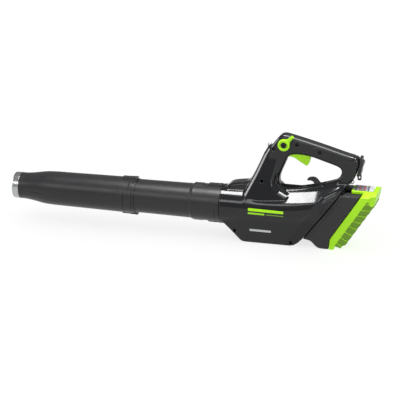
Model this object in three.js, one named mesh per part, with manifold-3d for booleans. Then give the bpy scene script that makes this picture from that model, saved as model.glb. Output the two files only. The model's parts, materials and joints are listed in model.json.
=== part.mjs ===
// A cordless axial leaf blower: tapered nozzle, extension tube, clamshell body with a loop handle,
// ducted fan with a brushless motor, and a battery pack in a bay at the back.
// Millimetres, +Z up, nozzle towards -X. The model is laid out from the air duct's axis
// (y = 0, z = 0) and the front face of the body (x = 0); the exported group then moves it so
// that the origin is under the middle of the whole object, on the floor.
import * as THREE from "three";
import { mergeVertices } from "three/addons/utils/BufferGeometryUtils.js";
import Module from "manifold-3d";

const wasm = await Module();
wasm.setup();

// ---------------------------------------------------------------- driving dimensions
const TIP_X = -546; // front of the nozzle's metal ring
const REAR_X = 394.34; // back of the battery's top corner
const FLOOR_Z = -80.5; // the floor, under the duct's axis
const GAP = 0.35; // clearance between pieces that touch
const WALL = 3; // moulded wall

const TIP_RING_LENGTH = 16.6;
const NOZZLE_END_X = -221; // back of the nozzle's sleeve
const TUBE_FRONT_X = -262; // front of the tube's spigot, inside the nozzle
const NOZZLE_SLEEVE_R = 42.6;
const TUBE_SPIGOT_R = 41.5;
const TUBE_SLEEVE_R = 44.2;
const DUCT_SPIGOT_R = 43.5;
const DUCT_FRONT_X = -40; // front of the duct's spigot, inside the tube
const DUCT_R = 46.4;
const DUCT_BORE_R = 43.6;

const BODY_HALF_WIDTH = 47; // flat sides of the belly
const HANDLE_HALF_WIDTH = 17.5;
const HANDLE_CAVITY = 13.5;

const SEAM_LOW = [213, -58.4]; // the line where the body ends and the battery bay starts
const SEAM_HIGH = [318.5, 83];

const PACK_X = 320; // the battery's own origin: middle of the bay's rim
const PACK_Z = 4;
const PACK_TILT = THREE.MathUtils.degToRad(33); // its sliding axis points back and down
const BAY_HALF_WIDTH = 46;
const CASE_HALF_WIDTH = 41.4;
const CAP_HALF_WIDTH = 45.4;
const CASE_DEPTH = 40;
const CAP_DEPTH = 18;
const RIB_PITCH = 17;
const RIB_REACH = [38.5, 39.5, 41, 41.2, 40.6, 40, 39.6, 39]; // from the bay's rim, lowest first
const LABEL_HALF_WIDTH = 23;
const LABEL_Z = 71; // the battery's level top face
const CASE_TOP_Z = 62.4;

const FAN_FRONT_X = 119.4;
const FAN_BACK_X = 144;
const FAN_HUB_R = 21.5;
const FAN_TIP_R = 42.8;
const FAN_BLADES = 9;
const STATOR_VANES = 7;

const TRIGGER_PIVOT = [170, 152];
const LEVER_PIVOT = [158, 172.4];
const LEVER_R = 16;
const LEVER_TIP = [182.6, 198.2];
const RELEASE_PIVOT = [252, 66];
const LOOP_PIVOT = [344.2, 107.5];

// Housing screws: x, z, and the depth from the middle plane to the screw's seat.
const SCREWS = [
  [131, 158, 11],
  [189.8, 174, 11],
  [247, 158.5, 11],
  [257, 77.5, 11],
  [105.4, 77.5, 16],
  [184, -71, 38],
  [41, -53, 34],
];

// ---------------------------------------------------------------- materials
const material = (color, roughness, metalness = 0) =>
  new THREE.MeshStandardMaterial({ color, roughness, metalness });
const BLACK_GLOSS = material(0x17181a, 0.22);
const BLACK_SATIN = material(0x1f2022, 0.42);
const BLACK_MATT = material(0x232325, 0.7);
const LIME = material(0x9ee600, 0.35);
const STEEL = material(0xc9cbcd, 0.28, 1);
const DARK_STEEL = material(0x2c2d30, 0.4, 0.8);
const ALUMINIUM = material(0xb8babd, 0.4, 0.9);
const RUBBER = material(0x161616, 0.9);
const COPPER = material(0xb06a3a, 0.4, 0.9);
const BOARD = material(0x1d5a34, 0.6);
const CELL_BLUE = material(0x2f5f9e, 0.5);
const PAPER = material(0xd8dadd, 0.6);

// ---------------------------------------------------------------- solids
// A closed solid from a geometry, with its faces turned outwards.
function solidOf(geometry) {
  const loose = geometry.index ? geometry.toNonIndexed() : geometry;
  const bare = new THREE.BufferGeometry();
  bare.setAttribute("position", loose.getAttribute("position"));
  const merged = mergeVertices(bare, 1e-3);
  const index = merged.index.array;
  const kept = [];
  for (let i = 0; i < index.length; i += 3) {
    const [a, b, c] = index.subarray(i, i + 3);
    if (a !== b && b !== c && a !== c) kept.push(a, b, c);
  }
  const build = (triVerts) =>
    new wasm.Manifold(
      new wasm.Mesh({ numProp: 3, vertProperties: merged.attributes.position.array, triVerts }),
    );
  const solid = build(new Uint32Array(kept));
  return solid.volume() > 0 ? solid : build(new Uint32Array(kept.reverse()));
}

function geometryOf(solid) {
  const mesh = solid.getMesh();
  const positions = new Float32Array(mesh.numVert * 3);
  for (let i = 0; i < mesh.numVert; i++) {
    positions.set(mesh.vertProperties.subarray(i * mesh.numProp, i * mesh.numProp + 3), i * 3);
  }
  const geometry = new THREE.BufferGeometry();
  geometry.setAttribute("position", new THREE.BufferAttribute(positions, 3));
  geometry.setIndex(new THREE.BufferAttribute(mesh.triVerts, 1));
  geometry.computeVertexNormals();
  return geometry;
}

const union = (...solids) => solids.reduce((a, b) => a.add(b));
const cut = (solid, ...tools) => tools.reduce((a, b) => a.subtract(b), solid);

// A surface of revolution about the X axis, from [x, r] points.
// A profile that starts off the axis is closed on itself.
function revolve(points, segments = 28) {
  const profile = points.map(([x, r]) => new THREE.Vector2(r, x));
  if (points[0][1] > 0) profile.push(profile[0].clone());
  return solidOf(new THREE.LatheGeometry(profile, segments).rotateZ(-Math.PI / 2));
}

const ring = (x0, x1, inner, outer, segments = 20) =>
  revolve([[x0, outer], [x1, outer], [x1, inner], [x0, inner]], segments);

const rodX = (x0, x1, r, segments = 14) =>
  solidOf(
    new THREE.CylinderGeometry(r, r, x1 - x0, segments)
      .rotateZ(-Math.PI / 2)
      .translate((x0 + x1) / 2, 0, 0),
  );

const rodY = ([x, z], y0, y1, r, segments = 14) =>
  solidOf(new THREE.CylinderGeometry(r, r, y1 - y0, segments).translate(x, (y0 + y1) / 2, z));

const block = (x0, x1, y0, y1, z0, z1) =>
  solidOf(
    new THREE.BoxGeometry(x1 - x0, y1 - y0, z1 - z0).translate(
      (x0 + x1) / 2,
      (y0 + y1) / 2,
      (z0 + z1) / 2,
    ),
  );

const shapeOf = (points) => new THREE.Shape(points.map(([x, z]) => new THREE.Vector2(x, z)));

// The same shape with its outline running counter-clockwise, its curves cut into straight pieces.
function wound(shape, curveSegments) {
  const drawn = shape.extractPoints(curveSegments);
  if (THREE.ShapeUtils.isClockWise(drawn.shape)) drawn.shape.reverse();
  const result = new THREE.Shape(drawn.shape);
  result.holes = drawn.holes.map((points) => new THREE.Path(points));
  return result;
}

// A side-view outline in X and Z, extruded from y0 to y1 with its edges rounded by bevel.
function slab(shape, y0, y1, bevel = 0, bevelSegments = 2, curveSegments = 6) {
  const depth = y1 - y0 - 2 * bevel;
  const geometry = new THREE.ExtrudeGeometry(wound(shape, curveSegments), {
    depth,
    steps: 1,
    bevelEnabled: bevel > 0,
    bevelThickness: bevel,
    bevelSize: bevel,
    bevelOffset: -bevel,
    bevelSegments,
  });
  return solidOf(geometry.rotateX(Math.PI / 2).translate(0, y1 - bevel, 0));
}

// A tube's wire along a curve through the points.
function wire(points, r, steps, sides = 6, closed = false) {
  const path = new THREE.CatmullRomCurve3(
    points.map((p) => new THREE.Vector3(...p)),
    closed,
    "centripetal",
  );
  return solidOf(tubeAlong(path, r, steps, sides));
}

function tubeAlong(path, r, steps, sides) {
  const section = new THREE.Shape();
  section.absarc(0, 0, r, 0, Math.PI * 2);
  return new THREE.ExtrudeGeometry(section, {
    steps,
    curveSegments: sides,
    bevelEnabled: false,
    extrudePath: path,
  });
}

// A loft: a cylinder whose rows are moved to the sections that sectionAt(t) gives,
// each an oval of power p about (x, z) with half sizes a (across the row's length) and b (in Y).
// The rows run along X, or along Z when upright.
function loft(sectionAt, rows, segments, upright = false) {
  const geometry = new THREE.CylinderGeometry(1, 1, 1, segments, rows);
  const position = geometry.getAttribute("position");
  for (let i = 0; i < position.count; i++) {
    const t = position.getY(i) + 0.5;
    const reach = Math.hypot(position.getX(i), position.getZ(i));
    const angle = Math.atan2(position.getZ(i), position.getX(i));
    const s = sectionAt(t);
    const round = (v) => Math.sign(v) * Math.abs(v) ** (2 / s.power);
    const across = reach * s.a * round(Math.cos(angle));
    const y = reach * s.b * round(Math.sin(angle));
    if (upright) position.setXYZ(i, s.x + across, y, s.z);
    else position.setXYZ(i, s.x, y, s.z + across);
  }
  return solidOf(geometry);
}

// The value at x of a smooth curve through [x, value] pairs.
function along(pairs, x) {
  const last = pairs.length - 1;
  if (x <= pairs[0][0]) return pairs[0][1];
  if (x >= pairs[last][0]) return pairs[last][1];
  const i = pairs.findIndex((p) => p[0] > x) - 1;
  const [x0, v0] = pairs[i];
  const [x1, v1] = pairs[i + 1];
  const t = (x - x0) / (x1 - x0);
  return v0 + (v1 - v0) * t * t * (3 - 2 * t);
}

// ---------------------------------------------------------------- the scene graph
const model = new THREE.Group();
model.position.set(-(TIP_X + REAR_X) / 2, 0, -FLOOR_Z);
const pack = new THREE.Group(); // the battery's own frame: X is its sliding axis, Z its length
pack.position.set(PACK_X, 0, PACK_Z);
pack.rotation.y = PACK_TILT;
model.add(pack);

function addTo(parent, name, solid, look) {
  const mesh = new THREE.Mesh(geometryOf(solid), look);
  mesh.name = name;
  parent.add(mesh);
  return mesh;
}
const add = (name, solid, look) => addTo(model, name, solid, look);
const addToPack = (name, solid, look) => addTo(pack, name, solid, look);

// A solid of the battery's frame, carried into the body's frame.
const fromPack = (solid) =>
  solid.rotate([0, THREE.MathUtils.radToDeg(PACK_TILT), 0]).translate([PACK_X, 0, PACK_Z]);
// A point of the body's frame [x, z] in the battery's frame.
function inPack([x, z]) {
  const dx = x - PACK_X;
  const dz = z - PACK_Z;
  return [
    dx * Math.cos(PACK_TILT) - dz * Math.sin(PACK_TILT),
    dx * Math.sin(PACK_TILT) + dz * Math.cos(PACK_TILT),
  ];
}

function outOfPack([n, l]) {
  return [
    PACK_X + n * Math.cos(PACK_TILT) + l * Math.sin(PACK_TILT),
    PACK_Z - n * Math.sin(PACK_TILT) + l * Math.cos(PACK_TILT),
  ];
}

// ---------------------------------------------------------------- nozzle and tube
const RING_BACK_X = TIP_X + TIP_RING_LENGTH;

function tipRing() {
  return revolve([
    [TIP_X, 29.6],
    [TIP_X, 31.6],
    [TIP_X + 1.6, 33.1],
    [RING_BACK_X, 33.3],
    [RING_BACK_X, 31.0],
    [TIP_X + 2.2, 31.0],
    [TIP_X + 2.2, 29.6],
  ]);
}

// The two twist-lock bosses of a sleeve, on its top and bottom, and their end ridges.
function lockBosses(x0, x1, inner, outer) {
  const boss = (z0, z1) =>
    union(
      block(x0, x1, -9, 9, Math.min(z0, z1), Math.max(z0, z1)),
      block(x1 - 5, x1, -6, 6, Math.min(z0, z1 * 1.025), Math.max(z0, z1 * 1.025)),
    );
  return [boss(inner, outer), boss(-inner, -outer)];
}

function nozzle() {
  const shell = revolve([
    [TIP_X + 2.6, 30.6],
    [RING_BACK_X + GAP, 30.6],
    [RING_BACK_X + GAP, 33.3],
    [-508, 34.0],
    [-497, 35.4],
    [-476, 39.2],
    [-465, 40.9],
    [-452, 42.1],
    [-436, 42.6],
    [-326, 44.1],
    [-270, 44.9],
    [NOZZLE_END_X, 45.3],
    [NOZZLE_END_X, NOZZLE_SLEEVE_R],
    [TUBE_FRONT_X - 1, NOZZLE_SLEEVE_R],
    [TUBE_FRONT_X - 1, 40.2],
    [-440, 39.8],
    [-465, 38.2],
    [-497, 32.6],
    [-529, 29.2],
    [TIP_X + 2.6, 28.6],
  ]);
  const windows = [-1, 1].map((side) =>
    block(-266, -253, Math.min(side * 42.9, side * 46.4), Math.max(side * 42.9, side * 46.4), 7, 19),
  );
  return union(shell, ...lockBosses(-260, NOZZLE_END_X, 43.8, 48.2), ...windows);
}

function extensionTube() {
  const shell = revolve([
    [TUBE_FRONT_X, TUBE_SPIGOT_R],
    [-246.5, TUBE_SPIGOT_R],
    [-246.5, 40.1],
    [-241.7, 40.1],
    [-241.7, TUBE_SPIGOT_R],
    [NOZZLE_END_X + 0.6, TUBE_SPIGOT_R],
    [NOZZLE_END_X + 0.6, 42.1],
    [-117, 43.2],
    [-90, 43.6],
    [-84, 45.5],
    [-40, 46.3],
    [-1, 46.8],
    [-1, TUBE_SLEEVE_R],
    [DUCT_FRONT_X - 1.5, TUBE_SLEEVE_R],
    [DUCT_FRONT_X - 1.5, 41.2],
    [-90, 40.8],
    [TUBE_FRONT_X, 38.9],
  ]);
  const pads = [1, -1].map((side) =>
    block(-73, -50, -12, 12, Math.min(side * 44.6, side * 47.6), Math.max(side * 44.6, side * 47.6)),
  );
  return union(shell, ...lockBosses(-36, -1, 45.4, 48.8), ...pads);
}

add("nozzle_tip_ring", tipRing(), STEEL);
add("nozzle", nozzle(), BLACK_SATIN);
add("nozzle_seal", ring(-246, -242.2, 40.5, 42.2, 28), RUBBER);
add("extension_tube", extensionTube(), BLACK_SATIN);
add("tube_seal", ring(-24, -20.2, 42.3, 43.8, 28), RUBBER);

// ---------------------------------------------------------------- ducted fan
function fanDuct() {
  return revolve([
    [DUCT_FRONT_X, DUCT_SPIGOT_R],
    [-24.5, DUCT_SPIGOT_R],
    [-24.5, 41.9],
    [-19.7, 41.9],
    [-19.7, DUCT_SPIGOT_R],
    [3, DUCT_SPIGOT_R],
    [3, DUCT_R],
    [149, DUCT_R],
    [156, 49.2],
    [156, 47.6],
    [149, DUCT_BORE_R],
    [60, DUCT_BORE_R],
    [8, 40.9],
    [DUCT_FRONT_X, 40.6],
  ]);
}

function statorHousing() {
  const cup = revolve([
    [58, 21],
    [118, 21],
    [118, 8.35],
    [112, 8.35],
    [112, 18.5],
    [58, 18.5],
  ]);
  const reach = rodX(60, 112, DUCT_BORE_R - GAP - 0.3, 28);
  const vanes = Array.from({ length: STATOR_VANES }, (_, i) =>
    block(66, 106, -1.1, 1.1, 19.6, 46)
      .rotate([(360 / STATOR_VANES) * i, 0, 0])
      .intersect(reach),
  );
  return union(cup, ...vanes);
}

// One fan blade: a thin arched section, extruded outwards from the hub.
function fanBlade() {
  const section = new THREE.Shape();
  section.moveTo(-11, -6.2);
  section.quadraticCurveTo(-1, -4.5, 10.5, 6.5);
  section.lineTo(9.6, 7.6);
  section.quadraticCurveTo(-2.5, -2.3, -11.6, -4.8);
  const geometry = new THREE.ExtrudeGeometry(section, {
    depth: 26,
    curveSegments: 3,
    bevelEnabled: false,
  });
  return solidOf(geometry.translate((FAN_FRONT_X + FAN_BACK_X) / 2, 0, 19.6));
}

function impeller() {
  const hub = revolve([
    [FAN_FRONT_X, FAN_HUB_R],
    [FAN_BACK_X, FAN_HUB_R - 0.6],
    [FAN_BACK_X, 2.8],
    [FAN_FRONT_X, 2.8],
    [FAN_FRONT_X, 6.5],
    [FAN_BACK_X - 4, 6.5],
    [FAN_BACK_X - 4, 19],
    [FAN_FRONT_X, 19],
  ]);
  const reach = rodX(FAN_FRONT_X, FAN_BACK_X, FAN_TIP_R, 28);
  const blade = fanBlade();
  const blades = Array.from({ length: FAN_BLADES }, (_, i) =>
    blade.rotate([(360 / FAN_BLADES) * i, 0, 0]).intersect(reach),
  );
  return union(hub, ...blades);
}

const SPINNER = [
  [FAN_BACK_X + GAP, 20.8],
  [152, 19],
  [160, 13.5],
  [164.5, 6.5],
  [166, 0],
  [153, 0],
  [153, 7.2],
  [FAN_BACK_X + GAP, 7.2],
];
const TAIL_CONE = [
  [27, 0],
  [30, 8.5],
  [38, 16],
  [48, 20.2],
  [57.6, 21],
  [57.6, 8.35],
  [52, 8.35],
  [52, 3.2],
  [50, 3.2],
  [50, 0],
];

add("fan_duct", fanDuct(), BLACK_MATT);
add("stator_housing", statorHousing(), BLACK_MATT);
add("motor_stator", ring(66.5, 111.5, 10.5, 18.1, 28), COPPER);
add("motor_rotor", ring(70, 108, 2.85, 9.8, 20), DARK_STEEL);
add("motor_shaft", rodX(50.6, 151.5, 2.5, 12), STEEL);
add("front_bearing", ring(52.3, 57.3, 2.85, 8, 20), STEEL);
add("rear_bearing", ring(112.3, 117.3, 2.85, 8, 20), STEEL);
add("tail_cone", revolve(TAIL_CONE, 24), BLACK_MATT);
add("impeller", impeller(), BLACK_MATT);
add("spinner", revolve([...SPINNER, SPINNER[0]], 24), BLACK_MATT);
add("impeller_nut", cut(rodX(144.6, 149.2, 5, 6), rodX(140, 155, 2.8, 12)), STEEL);

// ---------------------------------------------------------------- body shape
const seamX = (z) =>
  SEAM_LOW[0] + ((z - SEAM_LOW[1]) / (SEAM_HIGH[1] - SEAM_LOW[1])) * (SEAM_HIGH[0] - SEAM_LOW[0]);

// The barrel round the fan: its centre height and radius at each x.
const BARREL_Z = [[0, 0], [100, 0], [160, 2], [210, 8], [255, 20], [320, 34]];
const BARREL_R = [[0, 49.8], [60, 51.5], [120, 53], [200, 55], [320, 54]];

function barrel(inset, x0, x1, rows) {
  return loft(
    (t) => {
      const x = x0 + (x1 - x0) * t;
      const r = along(BARREL_R, x) - inset;
      return { x, z: along(BARREL_Z, x), a: r, b: r, power: 2 };
    },
    rows,
    32,
  );
}

// The belly below the duct, and the flat-sided part behind it up to the seam.
function belly(inset) {
  const edge = inset > 0 ? inset + 1 : 0;
  const shape = new THREE.Shape();
  shape.moveTo(6 + 2 * inset, -20);
  shape.lineTo(6 + 2 * inset, -32);
  shape.lineTo(17.7 + 1.4 * inset, -44.6 + 0.4 * inset);
  shape.lineTo(56 + inset, -76.5 + 0.9 * inset);
  shape.quadraticCurveTo(61 + inset, FLOOR_Z + inset, 68 + inset, FLOOR_Z + inset);
  shape.lineTo(180 - inset, FLOOR_Z + inset);
  shape.quadraticCurveTo(192 - inset, FLOOR_Z + inset, 203 - 1.5 * inset, -69 + 0.8 * inset);
  shape.lineTo(SEAM_LOW[0] - 1.4 * edge, SEAM_LOW[1] + 0.3 * edge);
  shape.lineTo(seamX(64) - 1.4 * edge, 64 - edge);
  shape.lineTo(255, 40 - inset);
  shape.lineTo(160, 12);
  shape.lineTo(60, 0);
  const half = BODY_HALF_WIDTH - inset;
  return slab(shape, -half, half, Math.max(7 - inset, 2), inset ? 1 : 2, 4);
}

// The handle loop, from the body up the front strut, back along the grip and down again.
function handleOuter(inset) {
  const s = new THREE.Shape();
  s.moveTo(62 + inset, 30);
  s.lineTo(66 + inset, 62);
  s.quadraticCurveTo(80 + inset, 82, 99.5 + inset, 119.5);
  s.quadraticCurveTo(112 + inset, 146, 126 + inset, 167);
  s.lineTo(144 + inset, 190 - inset * 0.4);
  s.quadraticCurveTo(150 + inset * 0.6, 197.8 - inset, 160, 197.2 - inset);
  s.lineTo(326, 155.2 - inset);
  s.quadraticCurveTo(342 - inset, 153 - inset, 344.5 - inset, 143);
  s.quadraticCurveTo(343 - inset, 118, 331 - inset, 94);
  s.lineTo(318.6 - inset * 1.2, 76);
  s.lineTo(301 - inset, 50);
  s.lineTo(240, 30);
  return s;
}

function gripOpening(inset) {
  const s = new THREE.Path();
  s.moveTo(144.5 - inset, 78);
  s.lineTo(163 - inset, 128);
  s.quadraticCurveTo(168.5, 144 + inset, 184, 147.5 + inset);
  s.quadraticCurveTo(205, 150 + inset, 232, 144 + inset);
  s.lineTo(281, 130.5 + inset);
  s.quadraticCurveTo(302.5 + inset, 124 + inset, 302 + inset, 110);
  s.quadraticCurveTo(301 + inset, 91 - inset, 280, 84.5 - inset);
  s.lineTo(236, 71 - inset);
  s.quadraticCurveTo(205, 61 - inset, 168, 57.5 - inset);
  s.quadraticCurveTo(142 - inset, 57 - inset, 144.5 - inset, 78);
  return s;
}

// The wide foot of the front strut: z, middle x, half length, half width.
const FOOT = [
  [10, 118, 56, 47],
  [34, 114, 50, 40],
  [60, 112, 36, 27],
  [90, 117, 27, 20],
  [130, 133, 18, 17],
];

function strutFoot(inset) {
  return loft(
    (t) => {
      const z = FOOT[0][0] + (FOOT[4][0] - FOOT[0][0]) * t;
      const at = (column) => along(FOOT.map((row) => [row[0], row[column]]), z);
      return { x: at(1), z, a: at(2) - inset, b: at(3) - inset, power: 3 };
    },
    4,
    20,
    true,
  );
}

function noseFairing() {
  const shape = new THREE.Shape();
  shape.moveTo(4, 12);
  shape.lineTo(4, 36);
  shape.quadraticCurveTo(10, 62, 34, 63.5);
  shape.lineTo(66, 66.5);
  shape.lineTo(96, 80);
  shape.lineTo(120, 12);
  return slab(shape, -21, 21, 8, 2, 4);
}

// What lies behind the seam, with a step in height where the rear strut stands over the bay.
function behind(height, offset) {
  return slab(
    shapeOf([
      [seamX(-120) + offset, -120],
      [seamX(height) + offset, height],
      [420, height],
      [420, -120],
    ]),
    -80,
    80,
  );
}
const behindSeam = behind(120, 0);
const underStrut = behind(SEAM_HIGH[1], 0);

function bodyOuter() {
  const shape = handleOuter(0);
  shape.holes.push(gripOpening(0));
  const handle = slab(shape, -HANDLE_HALF_WIDTH, HANDLE_HALF_WIDTH, 7, 2, 4);
  const hull = union(barrel(0, 0, 330, 7), belly(0), strutFoot(0), noseFairing());
  return union(cut(hull, behindSeam), cut(handle, underStrut));
}

function bodyInner() {
  const shape = handleOuter(WALL);
  shape.holes.push(gripOpening(WALL));
  const handle = slab(shape, -HANDLE_CAVITY, HANDLE_CAVITY, 3, 1, 3);
  const room = cut(
    union(barrel(WALL, 3, 330, 5), belly(WALL), strutFoot(WALL + 0.5)),
    behind(120, -5),
  );
  return union(room, cut(handle, behind(SEAM_HIGH[1] + 4, -5)));
}

// The two bulkheads that hold the duct, inside the shell.
const bulkheads = union(
  cut(rodX(6, 9, 51, 28), rodX(0, 20, DUCT_R + GAP, 28)),
  cut(rodX(139, 142, 51.4, 28), rodX(130, 150, DUCT_R + GAP, 28)),
);
const boss = ([x, z]) => rodY([x, z], -50, 50, 6, 8);

// Openings through the shell.
const GRILLE = { x0: 78, x1: 172, y: 34, z: FLOOR_Z + 3 };
const grilleHole = block(GRILLE.x0, GRILLE.x1, -GRILLE.y, GRILLE.y, FLOOR_Z - 5, GRILLE.z + 4);
const grilleSeat = block(
  GRILLE.x0 - 6,
  GRILLE.x1 + 6,
  -GRILLE.y - 6,
  GRILLE.y + 6,
  GRILLE.z - GAP,
  GRILLE.z + 6,
);
const TRIGGER_HALF = 9;
const triggerSlot = slab(
  shapeOf([
    [160.5, 132],
    [160.5, 164],
    [226, 164],
    [226, 138],
  ]),
  -TRIGGER_HALF - 0.8,
  TRIGGER_HALF + 0.8,
);
const RELEASE_HALF = 5;
const releaseSlot = block(213, 262, -RELEASE_HALF - 0.8, RELEASE_HALF + 0.8, 50, 92);
const latchRoom = block(250, 331, -RELEASE_HALF - 3.8, RELEASE_HALF + 3.8, 56, 70.2);
const leverHole = rodY(LEVER_PIVOT, -30, 0, 6.4, 16);

function screwHoles([x, z, seat]) {
  return union(
    rodY([x, z], -60, -seat, 4.2, 12),
    rodY([x, z], -seat - 1, seat, 1.9, 8),
  );
}

function screw([x, z, seat]) {
  return union(
    rodY([x, z], -seat - 3.2, -seat - GAP, 3.4, 12),
    rodY([x, z], -seat - 1, seat - 2, 1.5, 8),
  );
}

// ---------------------------------------------------------------- pieces in the body
const BOARD_BOX = { x0: 176, x1: 236, z: 16 };
const eyeOf = ([x, z], [nx, nz], reach, spread) => {
  const side = (k, d) => [x + nz * k * spread + nx * d, 0, z - nx * k * spread + nz * d];
  return [side(-1, -5), side(-1, 1), side(-0.9, reach * 0.75), side(0, reach), side(0.9, reach * 0.75),
    side(1, 1), side(1, -5)];
};
const FRONT_EYE = eyeOf([122.4, 161.5], [-0.853, 0.522], 9, 5);
const REAR_EYE = eyeOf([325.4, 85.5], [0.83, -0.557], 4.6, 4.5);

function eyeHoles(points) {
  const feet = [points[0], points[6]].map((foot, i) => {
    const out = i ? points[5] : points[1];
    const grow = (a, b, k) => a.map((v, j) => v + (b[j] - v) * k);
    const path = new THREE.LineCurve3(
      new THREE.Vector3(...grow(foot, out, -0.15)),
      new THREE.Vector3(...grow(foot, out, 1.6)),
    );
    return solidOf(tubeAlong(path, 1.75, 1, 8));
  });
  return union(...feet);
}

// The claw in the finger loop; its long arm ends in the hook that holds the battery.
function release() {
  const shape = new THREE.Shape();
  shape.moveTo(213.6, 83.2);
  shape.quadraticCurveTo(219, 89.6, 232, 89.2);
  shape.quadraticCurveTo(238, 88.2, 243, 80);
  shape.lineTo(256, 69.6);
  shape.lineTo(274, 67.2);
  shape.lineTo(306, 66.4);
  shape.lineTo(326, 65.8);
  shape.lineTo(326, 59);
  shape.lineTo(321, 59);
  shape.lineTo(319.5, 63.2);
  shape.lineTo(300, 62.8);
  shape.lineTo(274, 60.5);
  shape.lineTo(247, 60.5);
  shape.lineTo(233, 68.5);
  shape.quadraticCurveTo(231, 79, 224, 82);
  shape.quadraticCurveTo(219, 82.4, 215.4, 79.6);
  return cut(
    slab(shape, -RELEASE_HALF, RELEASE_HALF, 0.8, 1, 5),
    rodY(RELEASE_PIVOT, -20, 20, 2.4, 12),
  );
}

function triggerBody() {
  const shape = new THREE.Shape();
  shape.moveTo(162.4, 138);
  shape.quadraticCurveTo(176, 142, 189.5, 132.6);
  shape.lineTo(206.5, 119.4);
  shape.quadraticCurveTo(210.5, 116.6, 213, 120);
  shape.quadraticCurveTo(219.5, 129, 221.5, 141);
  shape.lineTo(221, 151);
  shape.lineTo(176, 158.5);
  shape.lineTo(164, 156.5);
  return cut(
    slab(shape, -TRIGGER_HALF, TRIGGER_HALF, 1.6, 1, 5),
    rodY(TRIGGER_PIVOT, -20, 20, 2.4, 12),
  );
}

// A compression spring about an upright axis, as one wire.
function coil([x, z0], z1, r, turns, thickness) {
  const points = Array.from({ length: turns * 8 + 1 }, (_, i) => {
    const a = (i / 8) * 2 * Math.PI;
    return [x + r * Math.cos(a), r * Math.sin(a), z0 + ((z1 - z0) * i) / (turns * 8)];
  });
  return wire(points, thickness, turns * 10, 3);
}

function speedLever() {
  const dx = LEVER_TIP[0] - LEVER_PIVOT[0];
  const dz = LEVER_TIP[1] - LEVER_PIVOT[1];
  const length = Math.hypot(dx, dz);
  const at = (k, side) => [
    LEVER_PIVOT[0] + (dx * k) - (dz / length) * side,
    LEVER_PIVOT[1] + (dz * k) + (dx / length) * side,
  ];
  const arm = slab(shapeOf([at(0.2, 7.5), at(0.2, -7.5), at(0.62, -4.2), at(0.9, -4.4), at(1, -2.4),
    at(1, 2.4), at(0.9, 4.4), at(0.62, 4.2)]), -27, -20.6, 1.2, 1);
  const disc = solidOf(new THREE.CylinderGeometry(LEVER_R, LEVER_R - 1.6, 8.2, 28)
    .translate(LEVER_PIVOT[0], -22.4, LEVER_PIVOT[1]));
  return cut(
    union(disc, arm),
    rodY(LEVER_PIVOT, -40, -21.4, 6.2, 16),
    rodY(LEVER_PIVOT, -30, 0, 4.3, 12),
  );
}

function strapBracket() {
  const shape = new THREE.Shape();
  shape.moveTo(341.5, 152.6);
  shape.quadraticCurveTo(351, 153.5, 352.4, 145);
  shape.lineTo(353, 140);
  shape.lineTo(355.4, 136);
  shape.lineTo(353.6, 130);
  shape.lineTo(349.6, 112);
  shape.quadraticCurveTo(347.5, 102.4, 341.5, 103);
  shape.lineTo(340, 107);
  shape.quadraticCurveTo(345.4, 122, 345.6, 143);
  const plate = slab(shape, -9, 9, 1.4, 1, 5);
  return cut(
    plate,
    block(330, 360, -3.2, 3.2, 98, 114.5),
    rodY(LOOP_PIVOT, -20, 20, 1.9, 10),
  );
}

function strapLoop() {
  const at = (d, w) => [LOOP_PIVOT[0] + w, LOOP_PIVOT[1] - d];
  const outer = shapeOf([at(-3.6, -2), at(-3.6, 2), at(0, 4.4), at(4, 5), at(13.5, 5), at(16.5, 2.4),
    at(16.5, -2.4), at(13.5, -5), at(4, -5), at(0, -4.4)]);
  outer.holes.push(new THREE.Path([at(4.6, -2.5), at(4.6, 2.5), at(13.4, 2.5), at(13.4, -2.5)]
    .map(([x, z]) => new THREE.Vector2(x, z))));
  return cut(slab(outer, -2.6, 2.6, 0.8, 1), rodY(LOOP_PIVOT, -20, 20, 1.9, 10));
}

// ---------------------------------------------------------------- shells
const bosses = union(...SCREWS.map(boss));
const shell = (() => {
  const outer = bodyOuter();
  const hollow = cut(bodyInner(), bosses, bulkheads);
  return cut(
    cut(outer, hollow),
    rodX(-1, 3, DUCT_SPIGOT_R + GAP, 28),
    rodX(2.6, 138, DUCT_R + GAP, 28),
    rodX(137, 157, 49.8, 28).intersect(block(142.5, 157, -60, 60, -60, 60)),
    grilleHole,
    grilleSeat,
    triggerSlot,
    releaseSlot,
    latchRoom,
    leverHole,
    eyeHoles(FRONT_EYE),
    eyeHoles(REAR_EYE),
    rodY(TRIGGER_PIVOT, -15.6, 15.6, 2.4, 10),
    rodY(RELEASE_PIVOT, -13.6, 13.6, 2.4, 10),
    ...SCREWS.map(screwHoles),
  );
})();
const SPLIT = 0.15; // half the gap between the two shells
const leftSide = block(-100, 500, -200, -SPLIT, -200, 300);
const rightSide = block(-100, 500, SPLIT, 200, -200, 300);
const largest = (solid) => solid.decompose().sort((a, b) => b.volume() - a.volume())[0];

add("left_housing", largest(shell.intersect(leftSide)), BLACK_GLOSS);
add("right_housing", largest(shell.intersect(rightSide)), BLACK_GLOSS);
SCREWS.forEach((place, i) => add(`housing_screw_${i + 1}`, screw(place), DARK_STEEL));

// ---------------------------------------------------------------- intake grille
function intakeGrille() {
  const plate = block(
    GRILLE.x0 - 5,
    GRILLE.x1 + 5,
    -GRILLE.y - 5,
    GRILLE.y + 5,
    GRILLE.z,
    GRILLE.z + 2.6,
  );
  const slots = Array.from({ length: 11 }, (_, i) => {
    const x = GRILLE.x0 + 4 + i * 8.2;
    return block(x, x + 4.2, -GRILLE.y + 4, GRILLE.y - 4, GRILLE.z - 5, GRILLE.z + 8);
  });
  return cut(plate, ...slots);
}
add("intake_grille", intakeGrille(), BLACK_MATT);

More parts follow.
